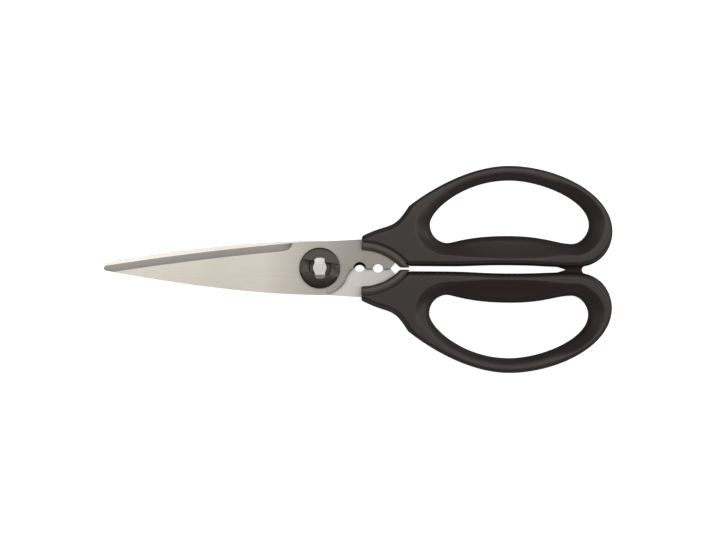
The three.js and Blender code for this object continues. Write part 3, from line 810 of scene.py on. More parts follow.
def gloss_plastic(colour):
    """Gloss black plastic, with fine rubbing marks."""
    finish = Finish("cap_plastic")
    rub = finish.noise((2600, 2600, 2600), 3.0, 0.65)
    cloud = finish.noise((300, 300, 300), 2.0)
    base = finish.mix(finish.ramp(rub, 0.4, 0.75), opaque(colour), opaque(shaded(colour, 1.35)))
    return finish.done(
        Base_Color=base,
        Roughness=0.17 + rub * 0.07 + cloud * 0.07,
        Normal=finish.bump(cloud * 0.7 + rub * 0.3, 0.1, 0.05 * MM),
    )


def satin_plastic(name, colour, rough):
    """Satin black moulded plastic, finely grained."""
    finish = Finish(name)
    grain = finish.noise((5200, 5200, 5200), 2.0, 0.6)
    cloud = finish.noise((160, 160, 160), 2.0)
    base = finish.mix(cloud, opaque(shaded(colour, 0.85)), opaque(shaded(colour, 1.25)))
    return finish.done(
        Base_Color=base,
        Roughness=rough - 0.05 + cloud * 0.1,
        Normal=finish.bump(grain, 0.12, 0.03 * MM),
    )


def soft_rubber(colour, worn_sheen, rough):
    """Soft black grip: a fine moulded grain, hand polish with a painted highlight on its crests and outer
    edge, and a faint parting line.
    """
    finish = Finish("grip_rubber")
    grain = finish.noise((4300, 4300, 4300), 3.0, 0.6)
    cloud = finish.noise((120, 120, 120), 2.0)
    # Hand polish and painted highlight: lighter colour on the crests and the outer edge
    wear = finish.attribute("wear") * finish.ramp(cloud, 0.25, 0.7)
    base = finish.mix(wear, opaque(shaded(colour, 0.95)), opaque(worn_sheen))
    height = finish.split()[2]
    off_line = finish.math("ABSOLUTE", height - MID_PLANE)
    parting = 1 - finish.ramp(off_line, 0.05 * MM, 0.16 * MM)
    return finish.done(
        Base_Color=base,
        Roughness=rough + 0.04 - wear * 0.1 + grain * 0.06,
        Normal=finish.bump(grain * 0.5 + parting * 0.9, 0.18, 0.05 * MM),
    )


# Blades


class BladePlan:
    """Lines of a blade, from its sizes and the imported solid."""

    def __init__(self, sizes):
        self.sizes = sizes
        self.reach = -blade_low.x
        self.round = -blade_low.y - sizes.spine_trim
        self.ricasso = blade_high.y
        self.tang_end = blade_high.x
        self.inner = blade_low.z
        self.outer = blade_high.z
        self.front = grip_low.x - sizes.touch
        self.nose = np.array([sizes.tip_radius - self.reach, -sizes.tip_drop])
        self.heel = self.round + sizes.heel_step
        self.big_x = self.heel + sizes.heel_land + sizes.big_notch
        self.small_x = self.big_x + sizes.notch_pitch
        self.stem_end = self.small_x + sizes.stem_land

    def edge(self, steps=96):
        """The cutting edge, from the nose to its heel."""
        sizes = self.sizes
        start = self.nose + (0, sizes.tip_radius)
        end = np.array([-sizes.edge_heel, sizes.edge_heel_height])
        middle = (start + end) / 2 + (0, 2 * sizes.edge_bulge)
        return quadratic(start, middle, end, steps)

    def notch(self, x, y, radius):
        """A notch in the stripping edge, walked towards the pivot."""
        rise = -self.sizes.tang_lap - y
        half = math.sqrt(radius**2 - rise**2)
        return arc((x, y), radius, math.atan2(rise, half), math.pi - math.atan2(rise, half), 40)

    def front_heel(self, end=-math.pi / 2):
        """The hollow slope from the stripping edge, and the round that it runs into."""
        sizes = self.sizes
        round_run = arc((sizes.heel_shift, 0), self.round, -sizes.heel_turn, end, 64)
        corner = np.array([self.heel, -sizes.tang_lap])
        down = np.array([-math.sin(sizes.heel_turn), -math.cos(sizes.heel_turn)])
        between = corner - round_run[0]
        back = (between[0] - between[1]) / (down[1] - down[0])
        slope = quadratic(corner, round_run[0] - back * down, round_run[0], 16)
        return joined(slope, round_run)

    def rear_heel(self):
        """The lip of the rear blade, which closes the hole behind the big notch."""
        sizes = self.sizes
        drop = sizes.big_notch + sizes.lip_margin
        end = self.big_x + drop
        on_round = math.sqrt(self.round**2 - drop**2)
        lip = [(end + sizes.lip_margin, -sizes.tang_lap), (end, -drop), (on_round, -drop)]
        return joined(lip, arc((0, 0), self.round, math.atan2(-drop, on_round), -math.pi / 2, 64))

    def outline(self, heel, notches):
        """The blade's outline, counter-clockwise."""
        sizes = self.sizes
        lap = sizes.tang_lap
        spine_end = self.nose - (0, sizes.tip_radius)
        spine = quadratic((0, -self.round), (-sizes.spine_run, -self.round), spine_end, 64)
        tang = [
            (self.front, self.ricasso),
            (self.front, sizes.tang_top),
            (self.tang_end, sizes.tang_top),
            (self.tang_end, sizes.tang_foot),
            (self.stem_end + sizes.stem_chamfer, sizes.tang_foot),
            (self.stem_end, -lap),
        ]
        tip = arc(self.nose, sizes.tip_radius, 1.5 * math.pi, 0.5 * math.pi, 16)
        return joined(self.edge(), tang, *notches, heel, spine, tip)[::-1]

    def small_notch(self):
        """The second notch, which both blades have."""
        return self.notch(self.small_x, -self.sizes.small_notch_offset, self.sizes.small_notch)

    def anchor(self):
        """The hole that the core is moulded through."""
        sizes = self.sizes
        middle = (sizes.tang_top + sizes.tang_foot) / 2
        return circle((self.tang_end - sizes.anchor_inset, middle), sizes.anchor_radius)

    def lens(self):
        """The rear blade's hole behind the big notch."""
        sizes = self.sizes
        half = math.acos(sizes.lens_offset / sizes.lens_radius)

        def bow(offset, middle):
            return arc((self.big_x, offset), sizes.lens_radius, middle - half, middle + half, 24)

        return joined(bow(-sizes.lens_offset, math.pi / 2), bow(sizes.lens_offset, -math.pi / 2))


class Grind:
    """A slope ground along a line, with a width that changes along it."""

    def __init__(self, run, width, slope):
        self.run = run
        self.width = width
        self.slope = slope

    def drop(self, points):
        """How much the wheel takes off at each point."""
        away, along = nearest(points, self.run)
        return np.maximum(self.width(along) - away, 0) * self.slope

    def crease(self):
        """The line where the slope starts, to the right of the run."""
        steps = np.diff(self.run, axis=0, append=2 * self.run[-1:] - self.run[-2:-1])
        size = np.linalg.norm(steps, axis=1)
        along = np.concatenate([[0], np.cumsum(size[:-1])])
        right = np.stack([steps[:, 1], -steps[:, 0]], 1) / size[:, None]
        return self.run + right * self.width(along)[:, None]


def edge_grinds(plan):
    """The bevel along the cutting edge, and the honed edge on it."""
    sizes = plan.sizes
    edge = plan.edge()
    ahead = edge[0] - (edge[1] - edge[0]) / np.linalg.norm(edge[1] - edge[0]) * sizes.bevel_width
    run = np.concatenate([[ahead], edge])
    total = np.linalg.norm(np.diff(run, axis=0), axis=1).sum()
    slope = (plan.outer - plan.inner - sizes.edge_thickness) / sizes.bevel_width
    hone_slope = 0.6

    def running_out(along):
        left = total - sizes.bevel_stop - along
        runout = np.clip(1 - left / sizes.bevel_runout, 0, 1)
        return np.sqrt(1 - runout**2)

    bevel = Grind(run, lambda along: sizes.bevel_width * running_out(along), slope)
    hone = Grind(run, lambda along: sizes.hone_width * running_out(along), hone_slope)
    return bevel, hone


def heel_grinds(plan, notches):
    """The chamfer on the front blade's pivot round, tapered at both ends, and the broken edge there."""
    sizes = plan.sizes
    chamfer_end = math.radians(-74)
    taper_in, taper_out = 0.12, 0.45
    rim_slope = 1.0
    run = plan.front_heel(chamfer_end)
    total = np.linalg.norm(np.diff(run, axis=0), axis=1).sum()

    def width(along):
        share_of_run = np.clip(along / total, 0, 1)
        rise = np.clip(share_of_run / taper_in, 0, 1)
        fall = np.clip((1 - share_of_run) / taper_out, 0, 1)
        return sizes.heel_chamfer * np.sin(rise * math.pi / 2) * np.sin(fall * math.pi / 2)

    chamfer = Grind(run, width, sizes.heel_chamfer_depth / sizes.heel_chamfer)
    edge = joined([(plan.stem_end, -sizes.tang_lap)], *notches, run)
    return chamfer, Grind(edge, lambda along: np.full_like(along, sizes.rim_width), rim_slope)


def blade_mesh(plan, loops, recess, recess_depth, heels=()):
    """Points, faces and finish numbers of a blade, in the front blade's place. The front blade has its
    heel ground, and the rear blade a lip that slopes to its hole."""
    sizes = plan.sizes
    bevel, hone = edge_grinds(plan)
    step_in = 0.02 * MM
    hair = 1e-6 * MM
    lip_fade = (-0.6 * MM, 0.2 * MM)
    lines = [grind.crease() for grind in (bevel, hone, *heels)]
    rings = [inset(loop, sizes.deburr) for loop in loops]
    rings += [circle((0, 0), recess), circle((0, 0), recess - step_in)]
    if not heels:
        rings.append(circle((plan.big_x, 0), sizes.lip_bevel))
    rims = [np.concatenate([ring, ring[:1]]) for ring in rings]

    def deburred(points):
        away = np.min([nearest(points, loop, closed=True)[0] for loop in loops], axis=0)
        return np.maximum(sizes.deburr - away, 0)

    def top(points):
        ground = bevel.drop(points) + hone.drop(points)
        heel = sum(grind.drop(points) for grind in heels)
        return plan.outer - np.maximum(np.maximum(deburred(points), ground), heel)

    def bottom(points):
        sunk = np.hypot(*points.T) < recess - step_in / 2
        edge = deburred(points) * (bevel.drop(points) < hair)
        taken = np.maximum(edge, sunk * recess_depth)
        if not heels:
            to_hole = sizes.lip_bevel - np.hypot(points[:, 0] - plan.big_x, points[:, 1])
            lip = 1 - smooth(*lip_fade, points[:, 1])
            taken = np.maximum(taken, np.maximum(to_hole, 0) * sizes.lip_slope * lip)
        return plan.inner + taken

    points, faces, middles = plate(loops, lines + rims, top, bottom)
    ground = (bevel.drop(middles) > 1e-3 * MM).astype(int)
    walls = len(faces) - 2 * len(middles)
    brushed_number, inner_number = 0, 2
    finish = ground.tolist() + [inner_number] * len(middles) + [brushed_number] * walls
    return points, faces, finish


class SCISSORS_OT_blades(bpy.types.Operator):
    """Makes the two ground steel blades"""

    bl_idname = "scissors.blades"
    bl_label = "Blades"

    def execute(self, context):
        sizes = context.scene.scissors_blades
        looks = context.scene.scissors_finishes
        plan = BladePlan(sizes)
        rough = looks.steel_rough
        painted_shade = looks.painted_shade
        lip = (plan.big_x, sizes.lip_bevel)
        inner_rough, ground_rough = rough - 0.04, rough - 0.06
        pivot_shade = looks.pivot_shade
        finishes = (
            steel("blade_brushed", looks.steel, rough, False, looks.steel_painted_tang_shade, painted_shade),
            steel("blade_ground", looks.ground, ground_rough, True, 1.0, painted_shade),
            steel("blade_inner", looks.inner, inner_rough, True, looks.inner_painted_tang_tone, painted_shade, pivot_shade, lip),
        )
        big = plan.notch(plan.big_x, 0, sizes.big_notch)
        notches = [plan.small_notch(), big]
        front = [
            plan.outline(plan.front_heel(), notches),
            plan.anchor(),
            circle((0, 0), sizes.bush_hole),
        ]
        rear = [
            plan.outline(plan.rear_heel(), [plan.small_notch()]),
            plan.anchor(),
            plan.lens(),
            circle((0, 0), sizes.stud_hole),
        ]
        heels = heel_grinds(plan, notches)
        made = blade_mesh(plan, front, sizes.bush_recess, sizes.bush_recess_depth, heels)
        self.place("front_blade_steel", made, "front_half", "front_blade", finishes)
        points, faces, numbers = blade_mesh(plan, rear, sizes.stud_recess, sizes.stud_recess_depth)
        made = (turned_over(points), faces, numbers)
        self.place("rear_blade_steel", made, "rear_half", "rear_blade", finishes)
        return {"FINISHED"}

    def place(self, name, made, body, node, finishes):
        """Makes one blade's object."""
        points, faces, numbers = made
        obj = mesh_object(name, points, faces)
        finished(obj, body, node, "blade_steel", *finishes)
        obj.data.polygons.foreach_set("material_index", numbers)
        shade(obj, 25)


# Pivot


def turned_tree():
    """A node tree that turns a profile about the pivot axis and cuts it."""
    group = bpy.data.node_groups.new("turned_piece", "GeometryNodeTree")
    for name, kind in (
        ("Profile", "NodeSocketObject"),
        ("Corners", "NodeSocketInt"),
        ("Sides", "NodeSocketInt"),
        ("Cutter", "NodeSocketObject"),
        ("Material", "NodeSocketMaterial"),
    ):
        group.interface.new_socket(name=name, in_out="INPUT", socket_type=kind)
    group.interface.new_socket(name="Geometry", in_out="OUTPUT", socket_type="NodeSocketGeometry")
    tree = Tree(group)
    given = tree.node("NodeGroupInput")
    profile = tree.node("GeometryNodeObjectInfo", None, Object=tree.out(given, "Profile"))
    cutter = tree.node("GeometryNodeObjectInfo", None, Object=tree.out(given, "Cutter"))
    corners = tree.out(given, "Corners")
    grid = tree.node(
        "GeometryNodeMeshGrid",
        None,
        Size_X=1.0,
        Size_Y=1.0,
        Vertices_X=tree.out(given, "Sides") + 1,
        Vertices_Y=corners,
    )
    position = tree.out(tree.node("GeometryNodeInputPosition"), "Position")
    spot = tree.node("ShaderNodeSeparateXYZ", None, Vector=position)
    row = tree.math("ROUND", (tree.out(spot, "Y") + 0.5) * (corners - 1))
    angle = (tree.out(spot, "X") + 0.5) * math.tau
    sample = tree.node(
        "GeometryNodeSampleIndex",
        {"data_type": "FLOAT_VECTOR", "domain": "POINT"},
        Geometry=tree.out(profile, "Geometry"),
        Value=position,
        Index=row,
    )
    corner = tree.node("ShaderNodeSeparateXYZ", None, Vector=tree.out(sample, "Value"))
    radius = tree.out(corner, "X")
    spun = tree.node(
        "ShaderNodeCombineXYZ",
        None,
        X=radius * tree.math("COSINE", angle),
        Y=radius * tree.math("SINE", angle),
        Z=tree.out(corner, "Z"),
    )
    moved = tree.node(
        "GeometryNodeSetPosition", None, Geometry=tree.out(grid, "Mesh"), Position=tree.out(spun, "Vector")
    )
    merged = tree.node(
        "GeometryNodeMergeByDistance", None, Geometry=tree.out(moved, "Geometry"), Distance=0.001 * MM
    )
    cut = tree.node("GeometryNodeMeshBoolean", {"operation": "DIFFERENCE", "solver": "EXACT"})
    tree.link(tree.out(merged, "Geometry"), tree.socket(cut.inputs, "Mesh_1"))
    tree.link(tree.out(cutter, "Geometry"), tree.socket(cut.inputs, "Mesh_2"))
    real = tree.node("GeometryNodeRealizeInstances", None, Geometry=tree.out(cut, "Mesh"))
    dressed = tree.node(
        "GeometryNodeSetMaterial",
        None,
        Geometry=tree.out(real, "Geometry"),
        Material=tree.out(given, "Material"),
    )
    tree.node("NodeGroupOutput", None, Geometry=tree.out(dressed, "Geometry"))
    return group


def turned(name, group, profile, cutter, sides, soft_edge, material):
    """A turned piece from the corners of its profile, with soft edges."""
    guide = mesh_object(f"{name}_profile", [(r, 0, z) for r, z in profile], [])
    obj = mesh_object(name, [], [])
    modifier = obj.modifiers.new("turned", "NODES")
    modifier.node_group = group
    inputs = {item.name: item.identifier for item in group.interface.items_tree if item.in_out == "INPUT"}
    values = {
        "Profile": guide,
        "Corners": len(profile),
        "Sides": sides,
        "Cutter": cutter,
        "Material": material,
    }
    for key, value in values.items():
        modifier[inputs[key]] = value
    settled(obj)
    welded(obj)
    if soft_edge:
        bevel = obj.modifiers.new("soft", "BEVEL")
        bevel.width = soft_edge
        bevel.segments = 2
        bevel.limit_method = "ANGLE"
        bevel.angle_limit = math.radians(35)
        settled(obj)
    for helper in (guide, cutter):
        bpy.data.objects.remove(helper)
    return obj


def welded(obj):
    """Merges doubles and turns all faces outwards."""
    near = 0.002 * MM
    made = bmesh.new()
    made.from_mesh(obj.data)
    bmesh.ops.remove_doubles(made, verts=made.verts, dist=near)
    bmesh.ops.dissolve_degenerate(made, edges=made.edges, dist=near)
    bmesh.ops.recalc_face_normals(made, faces=made.faces)
    made.to_mesh(obj.data)
    made.free()


def prism_faces(count, first):
    """Faces of a prism whose lower ring starts at a point number, and then its upper ring."""
    lower = [first + i for i in range(count)]
    walls = []
    for i in range(count):
        j = (i + 1) % count
        walls.append((lower[i], lower[j], lower[j] + count, lower[i] + count))
    return [lower[::-1], [i + count for i in lower], *walls]


def prism_object(name, rings):
    """A cutter from pairs of rings, each a closed line with a height."""
    points, faces = [], []
    for (lower, from_z), (upper, to_z) in rings:
        faces.extend(prism_faces(len(lower), len(points)))
        points.extend((*p, from_z) for p in lower)
        points.extend((*p, to_z) for p in upper)
    return mesh_object(name, points, faces)


def key_outline(pivot, gap):
    """The stud's head in plan, with a gap round it, along the X axis."""
    reach = pivot.tab_reach + gap
    half = pivot.tab_width / 2 + gap
    radius = pivot.stud_radius + gap
    tip = math.asin(half / reach)
    root = math.asin(half / radius)
    return joined(
        arc((0, 0), reach, -tip, tip, 16),
        arc((0, 0), radius, root, math.pi - root, 24),
        arc((0, 0), reach, math.pi - tip, math.pi + tip, 16),
        arc((0, 0), radius, math.pi + root, math.tau - root, 24),
    )


def spun(points, angle):
    """Points in plan, turned about the pivot."""
    c, s = math.cos(angle), math.sin(angle)
    return np.asarray(points) @ np.array([[c, s], [-s, c]])


class SCISSORS_OT_pivot_turned(bpy.types.Operator):
    """Makes the black cap and the bush under it"""

    bl_idname = "scissors.pivot_turned"
    bl_label = "Pivot cap and bush"

    def execute(self, context):
        pivot = context.scene.scissors_pivot
        looks = context.scene.scissors_finishes
        group = turned_tree()
        self.cap(pivot, group, gloss_plastic(looks.gloss))
        self.bush(pivot, group, satin_plastic("bush_plastic", looks.bush, 0.42))
        bpy.data.node_groups.remove(group)
        return {"FINISHED"}

    def key_slot(self, pivot, low, high):
        """Rings of the slot that the stud's head passes."""
        outline = spun(key_outline(pivot, pivot.running_gap), pivot.tab_angle - pivot.release_angle)
        return (outline, low), (outline, high)

    def cap(self, pivot, group, material):
        """The gloss cap, with its key channel."""
        radius = cap_high.x
        top = cap_high.z
        rim = radius - pivot.cap_chamfer
        boss = bush_high.z - blade_high.z
        hollow = pivot.sleeve_radius + pivot.running_gap
        swell = 0.15 * pivot.cap_chamfer
        edge = top - pivot.cap_dome
        rings = np.linspace(1, 0, 9)
        profile = [
            (0, cap_low.z + boss),
            (hollow, cap_low.z + boss),
            (hollow, cap_low.z),
            (radius, cap_low.z),
            (radius, edge - pivot.cap_chamfer),
            (radius - swell, edge - swell),
            *((rim * ring, top - pivot.cap_dome * ring**2) for ring in rings),
        ]
        floor = top - pivot.channel_depth
        half = pivot.channel_width / 2
        lean = 0.25 * pivot.channel_depth
        angle = pivot.tab_angle - pivot.release_angle
        past = 2 * MM
        widths = ((half - lean, floor), (half + lean * past / pivot.channel_depth, top + past))
        rings = []
        for width, height in widths:
            reach = radius + past
            box = [(-reach, -width), (reach, -width), (reach, width), (-reach, width)]
            rings.append((spun(box, angle), height))
        channel = prism_object("channel", [tuple(rings)])
        slot = prism_object("slot", [self.key_slot(pivot, cap_low.z - past, top + past)])
        cutter = united(channel, slot)
        name = "pivot_cap_gloss"
        obj = turned(name, group, profile, cutter, pivot.sides, pivot.soft_edge, material)
        finished(obj, "front_half", "pivot_cap", "cap_plastic", material)
        shade(obj, 32)

    def bush(self, pivot, group, material):
        """The moulded bush, let into the front blade."""
        flange = bush_low.z + pivot.flange_height
        profile = [
            (0, bush_low.z),
            (bush_high.x, bush_low.z),
            (bush_high.x, flange),
            (pivot.sleeve_radius, flange),
            (pivot.sleeve_radius, bush_high.z),
            (0, bush_high.z),
        ]
        past = 2 * MM
        slot = prism_object("slot", [self.key_slot(pivot, bush_low.z - past, bush_high.z + past)])
        obj = turned("pivot_bush_moulded", group, profile, slot, pivot.sides, 0.05 * MM, material)
        finished(obj, "front_half", "pivot_bush", "bush_plastic", material)
        shade(obj, 32)


def united(first, second):
    """Two cutters made into one."""
    modifier = first.modifiers.new("join", "BOOLEAN")
    modifier.operation = "UNION"
    modifier.solver = "EXACT"
    modifier.object = second
    settled(first)
    bpy.data.objects.remove(second)
    return first


class SCISSORS_OT_pivot_stud(bpy.types.Operator):
    """Makes the bright stud with its bayonet head"""

    bl_idname = "scissors.pivot_stud"
    bl_label = "Pivot stud"

    def execute(self, context):
        pivot = context.scene.scissors_pivot
        bows = context.scene.scissors_bows
        looks = context.scene.scissors_finishes
        soft = pivot.stud_round
        half_back = pivot.back_height / 2
        head_base = stud_high.z - pivot.tab_height
        shoulder_base = rear_high.z - pivot.shoulder_height
        angle = pivot.tab_angle
        bevel_start = 2.9 * MM
        bevel_slope = 0.13

        def field(x, y, z):
            radius = np.hypot(x, y)
            back = round_max(radius - pivot.back_radius, np.abs(z - half_back) - half_back, soft)
            from_stem = radius - pivot.stud_radius
            stem = np.maximum(from_stem, np.maximum(half_back - z, z - stud_high.z + soft))
            beyond = np.maximum(shoulder_base - z, z - rear_high.z)
            collar = np.maximum(radius - pivot.shoulder_radius, beyond)
            along = x * math.cos(angle) + y * math.sin(angle)
            across = -x * math.sin(angle) + y * math.cos(angle)
            sideways = np.abs(across) - pivot.tab_width / 2
            tabs = round_max(sideways, np.hypot(along, across) - pivot.tab_reach, soft)
            head = round_min(tabs, from_stem, soft)
            crown = z - stud_high.z + bevel_slope * np.maximum(np.abs(along) - bevel_start, 0)
            head = round_max(round_max(head, crown, soft), head_base - z, soft / 2)
            return np.minimum(np.minimum(back, stem), np.minimum(collar, head))

        points, quads = moulded(field, stud_low, stud_high, bows.pad_fineness)
        obj = mesh_object("pivot_stud_bright", points, quads)
        material = bright_steel(looks.bright, looks.pivot_shade, pivot.back_height, head_base)
        finished(obj, "rear_half", "pivot_stud", "stud_steel", material)
        shade(obj, 40)
        return {"FINISHED"}


# Finger bows, with the bands along and across them over which their form changes


NECK_END = (50 * MM, 62 * MM)
HEEL_START = (98 * MM, 114 * MM)
BAR_TOP = (18 * MM, 29 * MM)
BAR_END = (92 * MM, 114 * MM)
CORNER_END = (52 * MM, 82 * MM)
CORNER_START = (10 * MM, 27 * MM)
ARCH_START = (25 * MM, 30 * MM)
RIM_START = (104 * MM, 118 * MM)
RIM_RISE = (7 * MM, 16 * MM)
GROOVE_SIDES = (2.6 * MM, 4.4 * MM)
GROOVE_HAIR = 0.02 * MM
CORE_ROUND = 0.5 * MM
PAD_ROUND = 0.2 * MM


class BowPlan:
    """Lines and fields of a finger bow, in the upper bow's place."""

    def __init__(self, sizes, blades):
        self.sizes = sizes
        self.blades = blades
        self.neck = grip_low.x
        self.foot = grip_low.y
        self.half = (grip_high.z - grip_low.z) / 2
        self.core_half = (core_high.z - core_low.z) / 2
        self.right = sizes.bow_left + sizes.bow_length
        self.middle = sizes.bow_left + sizes.bow_length / 2
        self.crown = sizes.bow_floor + sizes.bow_height
        self.corner = sizes.bow_floor + sizes.corner_rise
        self.collar_centre = (self.neck - sizes.collar_run, -sizes.collar_drop)
        self.front = self.neck - 5 * MM
        margin = 3 * MM
        low = (self.neck - 2 * margin, -2 * MM)
        high = (grip_high.x + margin, grip_high.y + margin)
        step = 0.25 * MM
        self.outer = PlanDistance(self.outline(), low, high, step)
        self.opening = PlanDistance(self.opening_line(), low, high, step)
        self.scoop = PlanDistance(self.scoop_line(), low, high, step)
        self.slot = PlanDistance(self.slot_line(), low, high, step)

    def ring(self, left, right, floor, bulge, crown, run):
        """The opening, or the wider line where the slope round it starts."""
        near, far = (left + run, floor), (right - run, floor)
        hump, top = (self.middle, floor + bulge), (self.middle, crown)
        return joined(
            level_to_level(near, hump, 0.12, 0.67),
            level_to_level(hump, far, 0.57, 0.25),
            level_to_upright(far, (right, self.corner), 0.54, 0.47),
            upright_to_level((right, self.corner), top, 0.56, 0.4),
            level_to_upright(top, (left, self.corner), 0.58, 0.3),
            upright_to_level((left, self.corner), near, 0.76, 0.28),
        )

    def opening_line(self):
        """The edge of the finger opening."""
        sizes = self.sizes
        return self.ring(
            sizes.bow_left, self.right, sizes.bow_floor, sizes.palm_bulge, self.crown, sizes.corner_run
        )

    def scoop_line(self):
        """The line where the slope round the opening starts."""
        sizes = self.sizes
        return self.ring(
            sizes.bow_left - sizes.neck_scoop,
            self.right + sizes.heel_scoop,
            sizes.bar_crest + sizes.crest_sag,
            -sizes.crest_sag,
            self.crown + sizes.arch_scoop,
            sizes.corner_run + sizes.neck_scoop,
        )

    def outline(self):
        """The grip's outer edge, drawn past the neck's front face."""
        sizes = self.sizes
        top = grip_high.y
        shoulder = np.array([sizes.bow_left - sizes.shoulder_run, top - sizes.shoulder_drop])
        lead = shoulder + np.array([7.25, 5.8]) * MM
        tail = shoulder - np.array([6.9, 11.1]) * MM
        neck_lead = np.array([12.9, 6.4]) * MM
        neck_end = np.array([self.neck, sizes.neck_top])
        turn_up = (self.right - sizes.heel_foot, self.foot)
        heel = (grip_high.x, sizes.heel_tip)
        arch = (self.middle, top)
        arch_lead = (self.middle - 0.42 * (self.middle - shoulder[0]), top)
        slope = neck_lead[1] / neck_lead[0]
        foot_end = (sizes.bow_left + sizes.foot_run, self.foot)
        bar = (self.middle, sizes.bar_clear)
        return joined(
            [(self.front, self.foot), foot_end],
            level_to_level(foot_end, bar, 0.5, 0.5),
            level_to_level(bar, turn_up, 0.5, 0.5),
            level_to_upright(turn_up, heel, 0.83, 0.3, 32),
            upright_to_level(heel, arch, 0.61, 0.44, 40),
            cubic(arch, arch_lead, lead, shoulder, 40),
            cubic(shoulder, tail, neck_end + neck_lead, neck_end, 32),
            [(self.front, sizes.neck_top - slope * (self.neck - self.front))],
        )

    def slot_line(self):
        """The room for the tang in the core."""
        sizes, blades = self.sizes, self.blades.sizes
        gap = sizes.seat_gap
        foot = -blades.tang_lap - gap
        stem = self.blades.stem_end + gap
        end = self.blades.tang_end + gap
        return np.array([
            (self.front, blades.tang_top + gap),
            (self.front, foot),
            (stem, foot),
            (stem + blades.stem_chamfer, blades.tang_foot - gap),
            (end, blades.tang_foot - gap),
            (end, blades.tang_top + gap),
        ])[::-1]

    def height(self, x, y):
        """Half the thickness: flat, sloped round the opening, and falling a little to the rim."""
        sizes = self.sizes
        inside = np.maximum(-self.scoop(x, y), 0)
        left = np.maximum(self.opening(x, y), 0)
        share_in = inside / np.maximum(inside + left, 1e-9)
        neck = 1 - smooth(*NECK_END, x)
        heel = smooth(*HEEL_START, x)
        bar = (1 - smooth(*BAR_TOP, y)) * (1 - smooth(*BAR_END, x))
        beside_neck = (1 - smooth(*CORNER_END, x)) * smooth(*CORNER_START, y)
        dish_power = 1.25 + 0.4 * neck
        dished = 1 - (1 - share_in) ** dish_power
        dished *= (self.half - sizes.opening_half) * (1 - sizes.shallow * beside_neck)
        roll_power = 2.3 - 1.15 * heel
        rolled = share_in**roll_power
        rolled *= self.half - sizes.arch_half - (sizes.heel_half - sizes.arch_half) * heel
        to_rim = np.clip(1 + self.outer(x, y) / sizes.rim_width, 0, 1)
        rim = sizes.rim_fall * to_rim**2 * self.open_side(x, y)
        return self.half - bar * dished - (1 - bar) * rolled - rim

    def open_side(self, x, y):
        """One on the arch and the heel, nought on the neck and the bar."""
        heel = smooth(*RIM_START, x) * smooth(*RIM_RISE, y)
        return np.maximum(smooth(*ARCH_START, y), heel)

    def rounding(self, x, y):
        """Rounding of the outer edge in plan: full on neck and bar, small on arch and heel."""
        sizes = self.sizes
        return sizes.edge_round + (sizes.arch_round - sizes.edge_round) * self.open_side(x, y)

    def from_collar(self, x, y):
        """Distance from the centre of the collar's arcs."""
        return np.hypot(x - self.collar_centre[0], y - self.collar_centre[1])

    def core_body(self, x, y, z):
        """The part of the core that the grip covers."""
        sizes = self.sizes
        lift = np.abs(z - MID_PLANE)
        soft = CORE_ROUND
        body = round_max(self.outer(x, y) + sizes.core_wall, lift - self.core_half, soft)
        body = round_max(body, sizes.core_wall - self.opening(x, y), soft)
        body = round_max(body, lift - self.height(x, y) + sizes.core_skin, soft)
        inner = sizes.collar_radius + sizes.collar_width / 2 - self.from_collar(x, y)
        return np.maximum(body, np.maximum(inner, self.neck - x))

    def core(self, x, y, z):
        """The rigid core, with its collar and the slot for the tang."""
        sizes = self.sizes
        lift = np.abs(z - MID_PLANE)
        soft = CORE_ROUND
        body = self.core_body(x, y, z)
        away = self.from_collar(x, y)
        inner = sizes.collar_radius - away
        band = round_max(away - sizes.collar_radius - sizes.collar_width, lift - self.core_half, soft)
        band = round_max(band, inner, sizes.collar_round)
        band = round_max(band, sizes.collar_clear - y, soft)
        band = round_max(band, self.neck - x, soft)
        return np.maximum(np.minimum(body, band), -self.tang_room(x, y, z))

    def tang_room(self, x, y, z):
        """The slot for the tang, without the anchor that stands in its hole."""
        sizes, blades = self.sizes, self.blades
        middle = (blades.inner + blades.outer) / 2
        half = (blades.outer - blades.inner) / 2 + sizes.seat_gap
        pin_x = blades.tang_end - blades.sizes.anchor_inset
        pin_y = (blades.sizes.tang_top + blades.sizes.tang_foot) / 2
        pin = np.hypot(x - pin_x, y - pin_y) - blades.sizes.anchor_radius + sizes.seat_gap
        return np.maximum(np.maximum(self.slot(x, y), np.abs(z - middle) - half), -pin)

    def pad_plan(self, x, z):
        """Signed distance to a stop pad's round corners, seen from the other bow."""
        half_length = (pad_high.x - pad_low.x) / 2
        half_width = (pad_high.z - pad_low.z) / 2
        middle = (pad_high.x + pad_low.x) / 2
        return rounded_box(x - middle, z - MID_PLANE, half_length, half_width, self.sizes.pad_corner)

    def skin(self, x, y, z):
        """The grip's outer form, without its groove, its pocket and its hollow."""
        sizes = self.sizes
        lift = np.abs(z - MID_PLANE)
        crown = sizes.wall_crown * (lift / self.half) ** 2
        body = round_max(lift - self.height(x, y), crown - self.opening(x, y), sizes.opening_round)
        flat = sizes.edge_depth / sizes.edge_round
        return round_max(body, (self.outer(x, y) + crown) * flat, self.rounding(x, y) * flat)

    def grip(self, x, y, z):
        """The soft grip, hollow over the core."""
        sizes = self.sizes
        body = self.skin(x, y, z)
        sunk = smooth(*GROOVE_SIDES, np.abs(z - MID_PLANE))
        groove = sizes.collar_radius + sizes.collar_width + GROOVE_HAIR + sunk * sizes.seat_gap
        body = round_max(body, groove - self.from_collar(x, y), sizes.groove_round)
        body = round_max(body, self.neck - x, sizes.end_round)
        pocket = np.maximum(self.pad_plan(x, z) - sizes.seat_gap, y - self.foot - sizes.pad_seat)
        body = np.maximum(body, -pocket)
        return np.maximum(body, sizes.seat_gap - self.core_body(x, y, z))

